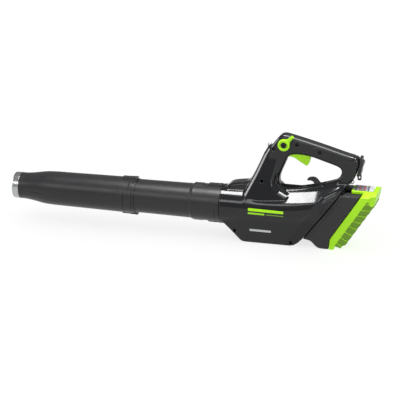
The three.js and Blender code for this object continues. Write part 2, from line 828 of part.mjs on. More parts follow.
// ---------------------------------------------------------------- handle controls
add("trigger", triggerBody(), LIME);
add("trigger_pin", rodY(TRIGGER_PIVOT, -15, 15, 2, 10), STEEL);
add("trigger_spring", coil([206, 155.4], 163.4, 3.4, 3, 0.6), STEEL);
add("speed_switch", block(199, 232, -8, 8, 164.4, 174), BLACK_MATT);
add("speed_lever", speedLever(), LIME);
add(
  "speed_lever_shaft",
  union(rodY(LEVER_PIVOT, -25.4, -21.8, 5.8, 16), rodY(LEVER_PIVOT, -22, -2, 3.9, 12)),
  DARK_STEEL,
);
add("speed_sensor", rodY(LEVER_PIVOT, -1.6, 8, 8.5, 16), BLACK_MATT);

// ---------------------------------------------------------------- battery latch
add("release_lever", release(), BLACK_SATIN);
add("release_pin", rodY(RELEASE_PIVOT, -13, 13, 2, 10), STEEL);

// ---------------------------------------------------------------- strap fittings
add("strap_bracket", strapBracket(), BLACK_SATIN);
add("strap_loop", strapLoop(), BLACK_SATIN);
add("strap_loop_pin", rodY(LOOP_PIVOT, -8.6, 8.6, 1.5, 10), STEEL);
add("front_strap_eye", wire(FRONT_EYE, 1.3, 16, 4), STEEL);
add("rear_strap_eye", wire(REAR_EYE, 1.3, 16, 4), STEEL);

// ---------------------------------------------------------------- electronics
add(
  "controller_board",
  block(BOARD_BOX.x0, BOARD_BOX.x1, -26, 26, BOARD_BOX.z, BOARD_BOX.z + 1.8),
  BOARD,
);
const fins = Array.from({ length: 6 }, (_, i) =>
  block(BOARD_BOX.x0 + 6, BOARD_BOX.x1 - 8, -19 + 7 * i, -16.6 + 7 * i, 19.9, 30),
);
add(
  "heat_sink",
  union(block(BOARD_BOX.x0 + 6, BOARD_BOX.x1 - 8, -20, 20, 18.2, 20.6), ...fins),
  ALUMINIUM,
);

// ---------------------------------------------------------------- battery bay
const RIM_LOW = [277.5, FLOOR_Z];
const RIM_KINK = outOfPack([-1.2, -69.8]);
const RIM_HIGH = outOfPack([-1.2, 71.2]);

function bayShape() {
  const s = new THREE.Shape();
  const off = 0.6; // clearance to the body at the seam
  s.moveTo(SEAM_LOW[0] + off, SEAM_LOW[1] - 0.6);
  s.lineTo(231.5, -62.4);
  s.lineTo(242, -71.6);
  s.lineTo(252, -79);
  s.lineTo(263, FLOOR_Z);
  s.lineTo(...RIM_LOW);
  s.lineTo(...RIM_KINK);
  s.lineTo(...RIM_HIGH);
  s.lineTo(351, 72.5);
  s.lineTo(seamX(72.5) + off, 72.5);
  return s;
}

// The well for the battery, in the battery's frame.
const caseTop = (n) => (CASE_TOP_Z - PACK_Z + n * Math.sin(PACK_TILT)) / Math.cos(PACK_TILT);
function caseShape(depth, foot, lift) {
  return shapeOf([
    [-depth, -foot],
    [0, -foot],
    [0, caseTop(0) + lift],
    [-depth, caseTop(-depth) + lift],
  ]);
}
const wellShape = shapeOf([
  [-CASE_DEPTH - 0.8, -68.6],
  [60, -68.6],
  [60, 150],
  [-CASE_DEPTH - 0.8, 150],
]);

// What lies above the sloping shoulders on both sides of the label.
const SHOULDER_TILT = 22.8;
const farShoulder = block(290, 400, 0, 40, 0, 30)
  .rotate([-SHOULDER_TILT, 0, 0])
  .translate([0, LABEL_HALF_WIDTH, LABEL_Z]);
const shoulders = [farShoulder, farShoulder.mirror([0, 1, 0])];

function bay() {
  const well = fromPack(slab(wellShape, -CASE_HALF_WIDTH - 0.6, CASE_HALF_WIDTH + 0.6));
  const topNotch = block(329, 400, -60, 60, CASE_TOP_Z, 90);
  const cover = block(seamX(72.5) - 4, 329, -60, 60, 70.2, 72.5);
  const outer = slab(bayShape(), -BAY_HALF_WIDTH, BAY_HALF_WIDTH, 6, 2, 5);
  const open = cut(well, cover);
  return cut(outer, open, latchRoom, topNotch, terminalHole, ...shoulders);
}

const TERMINAL = { l0: -18, l1: 14, y: 17 };
const terminalHole = fromPack(
  block(-46.9, -CASE_DEPTH, -TERMINAL.y - GAP, TERMINAL.y + GAP, TERMINAL.l0 - GAP, TERMINAL.l1 + GAP),
);
function terminalBlock() {
  const body = block(-46.5, -38.5, -TERMINAL.y, TERMINAL.y, TERMINAL.l0, TERMINAL.l1);
  const blades = [-11, 0, 11].map((y) => block(-40, -33, y - 0.8, y + 0.8, -12, 8));
  return union(body, ...blades);
}
add("battery_bay", largest(bay()), BLACK_SATIN);
addToPack("terminal_block", terminalBlock(), BLACK_MATT);

// ---------------------------------------------------------------- battery pack
function batteryCase() {
  const outer = slab(caseShape(CASE_DEPTH, 67.8, -0.3), -CASE_HALF_WIDTH, CASE_HALF_WIDTH, 3, 1);
  const front = cut(outer, block(-1.2, 10, -60, 60, -100, 150));
  const inner = slab(
    shapeOf([
      [-CASE_DEPTH + 2.5, -65],
      [5, -65],
      [5, caseTop(5) - 3.4],
      [-CASE_DEPTH + 2.5, caseTop(-CASE_DEPTH) - 3.4],
    ]),
    -CASE_HALF_WIDTH + 2.5,
    CASE_HALF_WIDTH - 2.5,
  );
  const socket = block(-60, -36, -TERMINAL.y - 1, TERMINAL.y + 1, TERMINAL.l0 - 1, TERMINAL.l1 + 1);
  const notch = slab(
    shapeOf([[319, 57.9], [327.4, 57.9], [327.4, 70], [319, 70]].map(inPack)),
    -9,
    9,
  );
  return cut(front, inner, socket, notch);
}

const labelPlane = (n) => (LABEL_Z - PACK_Z + n * Math.sin(PACK_TILT)) / Math.cos(PACK_TILT);

// The lime end cap: a frame band flush with the bay, and the cooling ribs behind it.
function batteryCap() {
  const kink = inPack(RIM_KINK);
  const low = inPack(RIM_LOW);
  const band = slab(
    shapeOf([
      [-0.8, kink[1] + 0.4],
      [low[0] + 0.8, low[1] + 1],
      [CAP_DEPTH, -85],
      [CAP_DEPTH, labelPlane(CAP_DEPTH) + 5],
      [-0.8, labelPlane(-0.8) + 5],
    ]),
    -CAP_HALF_WIDTH,
    CAP_HALF_WIDTH,
    3,
    1,
  );
  const core = slab(
    shapeOf([
      [CAP_DEPTH - 4, -76],
      [CAP_DEPTH + 10, -76],
      [CAP_DEPTH + 15, -66],
      [CAP_DEPTH + 15, 66],
      [CAP_DEPTH - 4, 72],
    ]),
    -36,
    36,
    4,
    1,
  );
  const ribs = RIB_REACH.map((reach, i) => {
    const l = -75 + i * RIB_PITCH;
    return slab(
      shapeOf([
        [CAP_DEPTH - 4, l + 2],
        [reach - 6, l + 2],
        [reach - 1, l + 5],
        [reach, l + 9],
        [reach - 2.5, l + 13],
        [CAP_DEPTH - 4, l + 13],
      ]),
      -41,
      41,
      1.2,
      1,
    );
  });
  const crown = slab(
    shapeOf([
      [CAP_DEPTH - 4, 61],
      [35, 61],
      [38, 65],
      [33, 80],
      [24, 101],
      [CAP_DEPTH - 4, 101],
    ]),
    -CAP_HALF_WIDTH + 6,
    CAP_HALF_WIDTH - 6,
    2,
    1,
  );
  const tongue = fromWorld(block(329.6, 362, -24, 24, CASE_TOP_Z + 0.5, LABEL_Z + 4));
  const above = fromWorld(block(200, 500, -100, 100, LABEL_Z, LABEL_Z + 60));
  const inner = slab(
    shapeOf([
      [-10, -64],
      [CAP_DEPTH - 3, -64],
      [CAP_DEPTH - 3, 66],
      [-10, 50],
    ]),
    -CAP_HALF_WIDTH + 5,
    CAP_HALF_WIDTH - 5,
  );
  const whole = union(band, core, ...ribs, crown, tongue);
  const floor = fromWorld(block(200, 500, -100, 100, FLOOR_Z - 50, FLOOR_Z + 0.4));
  const behindCase = slab(caseShape(CASE_DEPTH + 30, 90, 0.4), -60, 60);
  return largest(cut(whole, above, ...shoulders.map(fromWorld), inner, floor, cut(behindCase, block(-0.8, 30, -70, 70, -99, 99))));
}

function fromWorld(solid) {
  return solid
    .translate([-PACK_X, 0, -PACK_Z])
    .rotate([0, -THREE.MathUtils.radToDeg(PACK_TILT), 0]);
}

// Two rows of cells across the pack, in their two end plates.
function cellPack() {
  const cells = [-20.5, -1.8].flatMap((n) =>
    Array.from({ length: 6 }, (_, i) => rodY([n, -53 + i * 18.4], -32.5, 32.5, 9.1, 8)),
  );
  const plate = (y) => block(-28, 5, y, y + 2.4, -60, 46);
  return union(...cells, plate(-34), plate(31.6));
}
addToPack("battery_case", largest(batteryCase()), BLACK_SATIN);
addToPack("battery_cap", batteryCap(), LIME);
addToPack("cell_pack", largest(cellPack()), CELL_BLUE);
add("battery_label", block(334, 382, -20, 20, LABEL_Z + GAP - 0.1, LABEL_Z + 0.7), PAPER);

export default model;
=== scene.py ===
"""Looks of a cordless leaf blower, built round its frame.

Shapes are laid out in millimetres from the air duct's axis at the front of the body:
X runs back to the battery, Y to the user's right, Z up. place() moves them to the frame's metres.
Most moulded pieces are solid fields (negative inside), meshed by mould().
"""

import json
import math

import bmesh
import bpy
import numpy as np
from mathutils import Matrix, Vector


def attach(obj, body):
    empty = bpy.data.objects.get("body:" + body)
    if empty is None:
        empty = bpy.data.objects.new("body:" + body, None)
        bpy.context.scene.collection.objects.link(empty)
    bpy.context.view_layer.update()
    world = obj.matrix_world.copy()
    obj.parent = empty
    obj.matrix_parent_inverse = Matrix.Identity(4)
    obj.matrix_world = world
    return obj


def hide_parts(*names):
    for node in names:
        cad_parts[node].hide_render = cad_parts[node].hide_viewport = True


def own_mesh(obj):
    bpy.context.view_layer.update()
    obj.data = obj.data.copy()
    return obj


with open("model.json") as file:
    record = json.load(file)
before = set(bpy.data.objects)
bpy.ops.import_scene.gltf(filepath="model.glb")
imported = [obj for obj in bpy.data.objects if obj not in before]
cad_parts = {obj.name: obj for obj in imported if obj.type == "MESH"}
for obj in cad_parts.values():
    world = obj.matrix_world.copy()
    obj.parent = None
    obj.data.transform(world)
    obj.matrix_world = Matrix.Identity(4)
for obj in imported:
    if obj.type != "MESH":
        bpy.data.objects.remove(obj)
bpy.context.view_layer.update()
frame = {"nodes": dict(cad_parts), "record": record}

# ------------------------------------------------------------------ driving dimensions
ORIGIN = np.array([75.83, 0.0, 80.5])  # the layout's origin in the frame, in millimetres
FLOOR_Z = -80.5
WALL = 3.0
SEAM_LOW = (213.0, -58.4)
SEAM_HIGH = (318.5, 83.0)
PACK_X, PACK_Z = 320.0, 4.0
PACK_TILT = math.radians(33)
BAY_HALF = 46.0
CAP_HALF = 45.3
LABEL_Z = 71.0
LABEL_HALF = 23.0
FIN_PITCH = 18.2
FIRST_FIN = 60.7
TRIGGER_PIVOT = (170.0, 152.0)
SPRING_SEAT = (206.0, 163.4)
LEVER_PIVOT = (158.0, 172.4)
LEVER_TIP = (182.6, 198.2)
RELEASE_PIVOT = (252.0, 66.0)
LOOP_PIVOT = (344.2, 107.5)
SCREWS = [(131, 158, 11), (189.8, 174, 11), (247, 158.5, 11), (257, 77.5, 11), (105.4, 77.5, 16),
          (184, -71, 38), (41, -53, 34)]
COARSE = 1.0

BAY_ROUNDING = 4.5    # rounding of the bay's edges
GRIP_HALF = 17.4      # half widths across the handle, the nose and the small levers
NOSE_HALF = 20.5
TRIGGER_HALF = 8.9
CLAW_HALF = 5.0
BRACKET_HALF = 12.5
DUCT_MOUTH = 43.9     # radii cut through the shell for the air duct
DUCT_BORE = 46.8
SPRING_POCKET = (6.2, 12.8)  # radius of the trigger's pocket, and its floor's depth below SPRING_SEAT
CREASE = 30           # edges sharper than this, in degrees, are not smoothed


# ------------------------------------------------------------------ fields
def spline(x, xs, ys):
    """A smooth curve through (xs, ys), level beyond its ends."""
    xs, ys = np.asarray(xs, float), np.asarray(ys, float)
    slopes = np.gradient(ys, xs)
    slopes[0] = slopes[-1] = 0
    x = np.clip(x, xs[0], xs[-1])
    i = np.clip(np.searchsorted(xs, x, side="right") - 1, 0, len(xs) - 2)
    h = xs[i + 1] - xs[i]
    t = (x - xs[i]) / h
    rise = (3 - 2 * t) * t * t
    lead = ((t - 2) * t + 1) * t * h
    tail = (t - 1) * t * t * h
    return ys[i] * (1 - rise) + ys[i + 1] * rise + slopes[i] * lead + slopes[i + 1] * tail


def step(v, start, end):
    """0 before start, 1 after end, and a smooth rise between them."""
    t = np.clip((v - start) / (end - start), 0, 1)
    return t * t * (3 - 2 * t)


def rounded(points, pieces=5):
    """A closed outline drawn smoothly through the points."""
    p = np.array(points, float)
    before, after, later = np.roll(p, 1, 0), np.roll(p, -1, 0), np.roll(p, -2, 0)
    out = []
    for i in range(len(p)):
        a, b, c, d = before[i], p[i], after[i], later[i]
        reach = np.linalg.norm(c - b)
        lead = (c - a) * reach / max(np.linalg.norm(c - b) + np.linalg.norm(b - a), 1e-6)
        tail = (d - b) * reach / max(np.linalg.norm(d - c) + np.linalg.norm(c - b), 1e-6)
        for t in np.arange(pieces) / pieces:
            rise = (3 - 2 * t) * t * t
            out.append(b * (1 - rise) + c * rise + lead * ((t - 2) * t + 1) * t + tail * (t - 1) * t * t)
    return [tuple(v) for v in out]


def outline(x, z, points):
    """Distance to a closed outline in the side view, negative inside it."""
    nearest, inside = np.inf, False
    for (ax, az), (bx, bz) in zip(points, points[1:] + points[:1]):
        ex, ez = bx - ax, bz - az
        if ex == 0 and ez == 0:
            continue
        t = np.clip(((x - ax) * ex + (z - az) * ez) / (ex * ex + ez * ez), 0, 1)
        nearest = np.minimum(nearest, (x - ax - ex * t) ** 2 + (z - az - ez * t) ** 2)
        spans = (z < az) != (z < bz)
        inside = inside ^ (spans & (x < ax + ex * (z - az) / (ez if ez else 1)))
    return np.where(inside, -1, 1) * np.sqrt(nearest)


def prism(flat, across, fillet):
    """A side-view shape made thick: both are distances, and the edge between them is rounded."""
    a, b = flat + fillet, across + fillet
    return np.minimum(np.maximum(a, b), 0) + np.hypot(np.maximum(a, 0), np.maximum(b, 0)) - fillet


def fuse(a, b, k):
    """a and b joined, with a soft blend k wide."""
    h = np.clip(0.5 + 0.5 * (b - a) / k, 0, 1)
    return b * (1 - h) + a * h - k * h * (1 - h)


def common(a, b, k=0.01):
    """Where a and b overlap, with a soft blend k wide."""
    return -fuse(-a, -b, k)


def carve(a, b, k=0.01):
    """a with b cut out of it."""
    return -fuse(-a, b, k)


def box(x, y, z, low, high, fillet=0.0):
    parts = [np.abs(v - (a + b) / 2) - (b - a) / 2 + fillet for v, a, b in zip((x, y, z), low, high)]
    deepest = np.maximum(np.maximum(parts[0], parts[1]), parts[2])
    outside = np.sqrt(sum(np.maximum(p, 0) ** 2 for p in parts))
    return np.minimum(deepest, 0) + outside - fillet


def disc(x, y, z, centre, low, high, radius, fillet=0.0):
    """A round piece about an axis along Y."""
    return prism(np.hypot(x - centre[0], z - centre[1]) - radius, np.maximum(low - y, y - high), fillet)


def rod_x(x, y, z, low, high, radius):
    return np.maximum(np.hypot(y, z) - radius, np.maximum(low - x, x - high))


def in_pack(x, z):
    """Place in the battery's frame: along its sliding axis, and along its length."""
    dx, dz = x - PACK_X, z - PACK_Z
    c, s = math.cos(PACK_TILT), math.sin(PACK_TILT)
    return dx * c - dz * s, dx * s + dz * c


def behind_seam(x, z):
    """Distance behind the line between the body and the battery bay."""
    dx, dz = SEAM_HIGH[0] - SEAM_LOW[0], SEAM_HIGH[1] - SEAM_LOW[1]
    return ((x - SEAM_LOW[0]) * dz - (z - SEAM_LOW[1]) * dx) / math.hypot(dx, dz)


# ------------------------------------------------------------------ meshing
EDGES = [((0, 0, 0), (1, 0, 0)), ((0, 1, 0), (1, 1, 0)), ((0, 0, 1), (1, 0, 1)), ((0, 1, 1), (1, 1, 1)),
         ((0, 0, 0), (0, 1, 0)), ((1, 0, 0), (1, 1, 0)), ((0, 0, 1), (0, 1, 1)), ((1, 0, 1), (1, 1, 1)),
         ((0, 0, 0), (0, 0, 1)), ((1, 0, 0), (1, 0, 1)), ((0, 1, 0), (0, 1, 1)), ((1, 1, 0), (1, 1, 1))]


def corner(values, at):
    """The values at one corner of every cell."""
    n = values.shape
    return values[at[0]:n[0] - 1 + at[0], at[1]:n[1] - 1 + at[1], at[2]:n[2] - 1 + at[2]]


def surface_points(values):
    """One point in every cell that the surface crosses, and the number of each cell's point."""
    crossings = np.zeros(corner(values, (0, 0, 0)).shape, np.int8)
    for a, b in EDGES:
        crossings += (corner(values, a) < 0) != (corner(values, b) < 0)
    cells = np.nonzero(crossings)
    number = np.full(crossings.shape, -1, np.int64)
    number[cells] = np.arange(len(cells[0]))
    total = np.zeros((len(cells[0]), 3))
    for a, b in EDGES:
        va, vb = corner(values, a)[cells], corner(values, b)[cells]
        crossed = (va < 0) != (vb < 0)
        t = np.where(crossed, va / np.where(crossed, va - vb, 1), 0)
        point = np.array(a) + t[:, None] * (np.array(b) - np.array(a))
        total += np.where(crossed[:, None], point, 0)
    return total / crossings[cells][:, None] + np.stack(cells, 1), number


def surface_quads(values, number):
    """The faces between the points, all turned outwards."""
    faces = []
    for axis in range(3):
        u, v = (axis + 1) % 3, (axis + 2) % 3
        low = [slice(None)] * 3
        high = [slice(None)] * 3
        low[axis], high[axis] = slice(None, -1), slice(1, None)
        for w in (u, v):
            low[w] = high[w] = slice(1, -1)
        a, b = values[tuple(low)] < 0, values[tuple(high)] < 0
        for leaving in (True, False):
            at = np.stack(np.nonzero(a & ~b if leaving else b & ~a), 1)
            at[:, u] += 1
            at[:, v] += 1
            ring = [(0, 0), (1, 0), (1, 1), (0, 1)] if leaving else [(0, 0), (0, 1), (1, 1), (1, 0)]
            quad = []
            for du, dv in ring:
                cell = at.copy()
                cell[:, u] -= du
                cell[:, v] -= dv
                quad.append(number[tuple(cell.T)])
            faces.append(np.stack(quad, 1))
    return np.concatenate(faces)


def slope(field, p, reach=0.05):
    """The field's gradient at the points."""
    out = np.zeros_like(p)
    for i in range(3):
        ahead, back = p.copy(), p.copy()
        ahead[:, i] += reach
        back[:, i] -= reach
        out[:, i] = (field(*ahead.T) - field(*back.T)) / (2 * reach)
    return out


def settle(field, p, limit):
    """Moves the points onto the field's surface."""
    start = p.copy()
    for _ in range(3):
        g = slope(field, p)
        p = p - g * (field(*p.T) / np.maximum((g * g).sum(1), 0.05))[:, None]
        p = start + np.clip(p - start, -limit, limit)
    return p


def place(points):
    return (np.asarray(points, float) + ORIGIN) / 1000


def new_mesh(name, points, faces):
    mesh = bpy.data.meshes.new(name)
    mesh.from_pydata([tuple(p) for p in place(points)], [], [tuple(int(i) for i in f) for f in faces])
    mesh.validate()
    mesh.shade_smooth()
    obj = bpy.data.objects.new(name, mesh)
    bpy.context.scene.collection.objects.link(obj)
    return obj


def mould(name, field, low, high, size, side=0):
    """Meshes the field inside the box from low to high, in cells of the given size.
    With a side, only the half beyond the middle plane is kept."""
    size = size * COARSE
    axes = [np.arange(a - 2 * size, b + 3 * size, size) for a, b in zip(low, high)]
    sparse = np.meshgrid(*axes, indexing="ij", sparse=True)
    values = np.broadcast_to(field(*sparse), [len(a) for a in axes]).astype(np.float64)
    cells, number = surface_points(values)
    points = np.array([a[0] for a in axes]) + cells * size
    points = settle(field, points, size * 0.9)
    obj = new_mesh(name, points, surface_quads(values, number))
    if side:
        halve(obj, side)
    points = np.array([v.co for v in obj.data.vertices]) * 1000 - ORIGIN
    normals = slope(field, points)
    normals /= np.maximum(np.linalg.norm(normals, axis=1), 1e-9)[:, None]
    if side:
        flat = [np.mean([f.normal.y for f in faces]) * side < -0.999 for faces in faces_at(obj)]
        normals[flat] = (0, -side, 0)
    obj.data.normals_split_custom_set_from_vertices([tuple(n) for n in normals])
    return obj


def faces_at(obj):
    """The faces round each vertex."""
    found = [[] for _ in obj.data.vertices]
    for face in obj.data.polygons:
        for v in face.vertices:
            found[v].append(face)
    return found


def halve(obj, side):
    """Keeps the half of a mesh on one side of the middle plane, closed by a flat cap."""
    bm = bmesh.new()
    bm.from_mesh(obj.data)
    geom = bm.verts[:] + bm.edges[:] + bm.faces[:]
    cut = bmesh.ops.bisect_plane(bm, geom=geom, plane_co=(0, side * 0.00015, 0),
                                 plane_no=(0, -side, 0), clear_outer=True)
    rim = [e for e in cut["geom_cut"] if isinstance(e, bmesh.types.BMEdge)]
    bmesh.ops.triangle_fill(bm, use_beauty=True, edges=rim, normal=(0, -side, 0))
    bmesh.ops.split_edges(bm, edges=[e for e in rim if e.is_valid])
    bm.to_mesh(obj.data)
    bm.free()
    obj.data.shade_smooth()


def lathe(name, profile, turns):
    """A closed profile of (x, radius) turned about the duct's axis. A radius can vary round it."""
    angles = np.arange(turns) / turns * 2 * math.pi
    rings = [np.stack([np.full(turns, float(x)), -r * np.cos(angles), r * np.sin(angles)], 1)
             for x, r in profile]
    n = len(profile)
    around = np.arange(turns)
    onward = (around + 1) % turns
    faces = np.concatenate([
        np.stack([i * turns + around, i * turns + onward,
                  (i + 1) % n * turns + onward, (i + 1) % n * turns + around], 1)
        for i in range(n)])
    return creased(new_mesh(name, np.concatenate(rings), faces), CREASE)


def creased(obj, degrees):
    """Smooth shading, except across edges sharper than this."""
    bm = bmesh.new()
    bm.from_mesh(obj.data)
    bmesh.ops.remove_doubles(bm, verts=bm.verts[:], dist=1e-6)
    bmesh.ops.recalc_face_normals(bm, faces=bm.faces[:])
    for edge in bm.edges:
        edge.smooth = len(edge.link_faces) == 2 and edge.calc_face_angle() < math.radians(degrees)
    bm.to_mesh(obj.data)
    bm.free()
    obj.data.shade_smooth()
    return obj


def piece(obj, body, slot, look, *nodes):
    """Puts a finished mesh on its body, in place of the frame's nodes that are named."""
    obj.data.materials.clear()
    obj.data.materials.append(look)
    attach(obj, body)
    if nodes:
        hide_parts(*nodes)


# ------------------------------------------------------------------ materials
def node(tree, kind, inputs=(), **settings):
    """Adds a node. inputs maps a socket to a value or to another node's output."""
    made = tree.nodes.new(kind)
    for key, value in settings.items():
        setattr(made, key, value)
    for socket, value in dict(inputs).items():
        if isinstance(value, bpy.types.NodeSocket):
            tree.links.new(value, made.inputs[socket])
        else:
            made.inputs[socket].default_value = value
    return made


def blank(name):
    material = bpy.data.materials.new(name)
    material.use_nodes = True
    tree = material.node_tree
    return material, tree, tree.nodes["Principled BSDF"], node(tree, "ShaderNodeTexCoord").outputs["Object"]


def spread(tree, value, low, high):
    """Maps a 0-to-1 value to the range from low to high."""
    mapped = node(tree, "ShaderNodeMapRange", {"Value": value, "To Min": low, "To Max": high})
    return mapped.outputs["Result"]


def noise(tree, where, scale, detail=3.0):
    made = node(tree, "ShaderNodeTexNoise", {"Vector": where, "Scale": scale, "Detail": detail})
    return made.outputs["Fac"]


def plastic(name, colour, roughness, grain=0.03, grain_scale=1800.0, marks=(), dull=()):
    """Moulded plastic: cloudy colour and gloss, a fine grain, and faint flow streaks.
    marks are flat coloured bars: (low x, high x, low z, high z, colour).
    dull are zones with a rougher finish: (extra roughness, the lines that bound the zone)."""
    material, tree, shader, where = blank(name)
    clouds = noise(tree, where, 14.0)
    tint = node(tree, "ShaderNodeMix", {"Factor": clouds, "A": (*[c * 0.86 for c in colour], 1),
                                        "B": (*[min(1, c * 1.14) for c in colour], 1)}, data_type="RGBA")
    result = tint.outputs["Result"]
    for bar in marks:
        inside = bar_mask(tree, where, bar[:4])
        laid = node(tree, "ShaderNodeMix", {"Factor": inside, "A": result, "B": (*bar[4], 1)},
                    data_type="RGBA")
        result = laid.outputs["Result"]
    tree.links.new(result, shader.inputs["Base Color"])
    smudges = noise(tree, where, 55.0, 5.0)
    rough = spread(tree, smudges, roughness * 0.8, roughness * 1.25)
    for zone in dull:
        extra = zone_mask(tree, where, zone)
        rough = node(tree, "ShaderNodeMath", {0: rough, 1: extra}, operation="ADD").outputs[0]
    tree.links.new(rough, shader.inputs["Roughness"])
    shader.inputs["Specular IOR Level"].default_value = 0.4
    pits = noise(tree, where, grain_scale, 2.0)
    stretched = node(tree, "ShaderNodeMapping", {"Vector": where, "Scale": (40, 400, 400)})
    streaks = noise(tree, stretched.outputs[0], 1.0)
    relief = node(tree, "ShaderNodeMath", {0: pits, 1: spread(tree, streaks, 0, 0.12)}, operation="ADD")
    bump = node(tree, "ShaderNodeBump", {"Height": relief.outputs[0], "Strength": grain, "Distance": 0.0004})
    tree.links.new(bump.outputs["Normal"], shader.inputs["Normal"])
    return material


def zone_mask(tree, where, zone):
    """Extra roughness beyond several lines in the side view. Each line is (x, z, towards x, towards z)."""
    extra, lines = zone
    result = extra
    for x, z, dx, dz in lines:
        size = math.hypot(dx, dz)
        side = node(tree, "ShaderNodeVectorMath", {0: where, 1: (dx / size, 0, dz / size)},
                    operation="DOT_PRODUCT")
        start = ((x + ORIGIN[0]) * dx + (z + ORIGIN[2]) * dz) / size / 1000
        inside = node(tree, "ShaderNodeMapRange", {"Value": side.outputs["Value"], "From Min": start - 0.001,
                                                   "From Max": start + 0.001})
        both = node(tree, "ShaderNodeMath", {0: inside.outputs[0], 1: result}, operation="MULTIPLY")
        result = both.outputs[0]
    return result


def bar_mask(tree, where, bar):
    """1 inside a bar on the left side of the body, 0 outside."""
    split = node(tree, "ShaderNodeSeparateXYZ", {0: where}).outputs
    x0, x1 = [(v + ORIGIN[0]) / 1000 for v in bar[:2]]
    z0, z1 = [(v + ORIGIN[2]) / 1000 for v in bar[2:]]
    tests = [("X", "GREATER_THAN", x0), ("X", "LESS_THAN", x1), ("Z", "GREATER_THAN", z0),
             ("Z", "LESS_THAN", z1), ("Y", "LESS_THAN", -0.03)]
    result = 1.0
    for axis, operation, limit in tests:
        test = node(tree, "ShaderNodeMath", {0: split[axis], 1: limit}, operation=operation).outputs[0]
        result = node(tree, "ShaderNodeMath", {0: result, 1: test}, operation="MULTIPLY").outputs[0]
    return result


def metal(name, colour, roughness, stretch, grain=0.15):
    """Worked metal: fine lines that run where stretch is small, and cloudy gloss."""
    material, tree, shader, where = blank(name)
    stretched = node(tree, "ShaderNodeMapping", {"Vector": where, "Scale": stretch})
    lines = noise(tree, stretched.outputs[0], 1.0, 4.0)
    tint = node(tree, "ShaderNodeMix", {"Factor": lines, "A": (*[c * 0.6 for c in colour], 1),
                                        "B": (*colour, 1)}, data_type="RGBA")
    tree.links.new(tint.outputs["Result"], shader.inputs["Base Color"])
    shader.inputs["Metallic"].default_value = 1.0
    cloudy = noise(tree, where, 120.0, 4.0)
    tree.links.new(spread(tree, cloudy, roughness * 0.7, roughness * 1.4), shader.inputs["Roughness"])
    bump = node(tree, "ShaderNodeBump", {"Height": lines, "Strength": grain, "Distance": 0.0002})
    tree.links.new(bump.outputs["Normal"], shader.inputs["Normal"])
    return material


def printed(name):
    """The battery's label: a pale film with rows of plain coloured blocks."""
    material, tree, shader, where = blank(name)
    split = node(tree, "ShaderNodeSeparateXYZ", {0: where}).outputs
    along = node(tree, "ShaderNodeMapRange", {"Value": split["X"], "From Min": 0.4105, "From Max": 0.4575})
    across = node(tree, "ShaderNodeMath", {0: split["Y"], 1: 190.0}, operation="MULTIPLY").outputs[0]
    row = node(tree, "ShaderNodeMath", {0: across}, operation="FLOOR").outputs[0]
    shift = node(tree, "ShaderNodeMath", {0: row, 1: 0.013}, operation="MULTIPLY").outputs[0]
    place_in_row = node(tree, "ShaderNodeMath", {0: along.outputs[0], 1: shift}, operation="ADD").outputs[0]
    blocks = node(tree, "ShaderNodeValToRGB", {0: place_in_row})
    ramp = blocks.color_ramp
    ramp.interpolation = "CONSTANT"
    colours = [(0.0, (0.015, 0.022, 0.04)), (0.1, (0.16, 0.18, 0.22)), (0.18, (0.2, 0.05, 0.035)),
               (0.34, (0.1, 0.14, 0.22)), (0.44, (0.25, 0.055, 0.035)), (0.56, (0.32, 0.34, 0.38)),
               (0.66, (0.03, 0.033, 0.045)), (0.74, (0.5, 0.51, 0.53))]
    for at, colour in colours:
        stop = ramp.elements.new(at)
        stop.color = (*colour, 1)
    ramp.elements.remove(ramp.elements[0])
    specks = noise(tree, where, 900.0, 3.0)
    worn = node(tree, "ShaderNodeMix", {"Factor": spread(tree, specks, 0, 0.5), "A": blocks.outputs[0],
                                        "B": (0.2, 0.2, 0.22, 1)}, data_type="RGBA")
    tree.links.new(worn.outputs["Result"], shader.inputs["Base Color"])
    tree.links.new(spread(tree, specks, 0.28, 0.42), shader.inputs["Roughness"])
    return material


LIME_COLOUR = (0.30, 0.63, 0.001)
MARKS = [(76, 166, 4.5, 11.5, LIME_COLOUR), (76, 118, -3.5, 0.8, LIME_COLOUR),
         (122, 166, -2.6, -0.4, (0.16, 0.3, 0.02)), (80, 134, -49, -43.5, (0.42, 0.43, 0.44))]
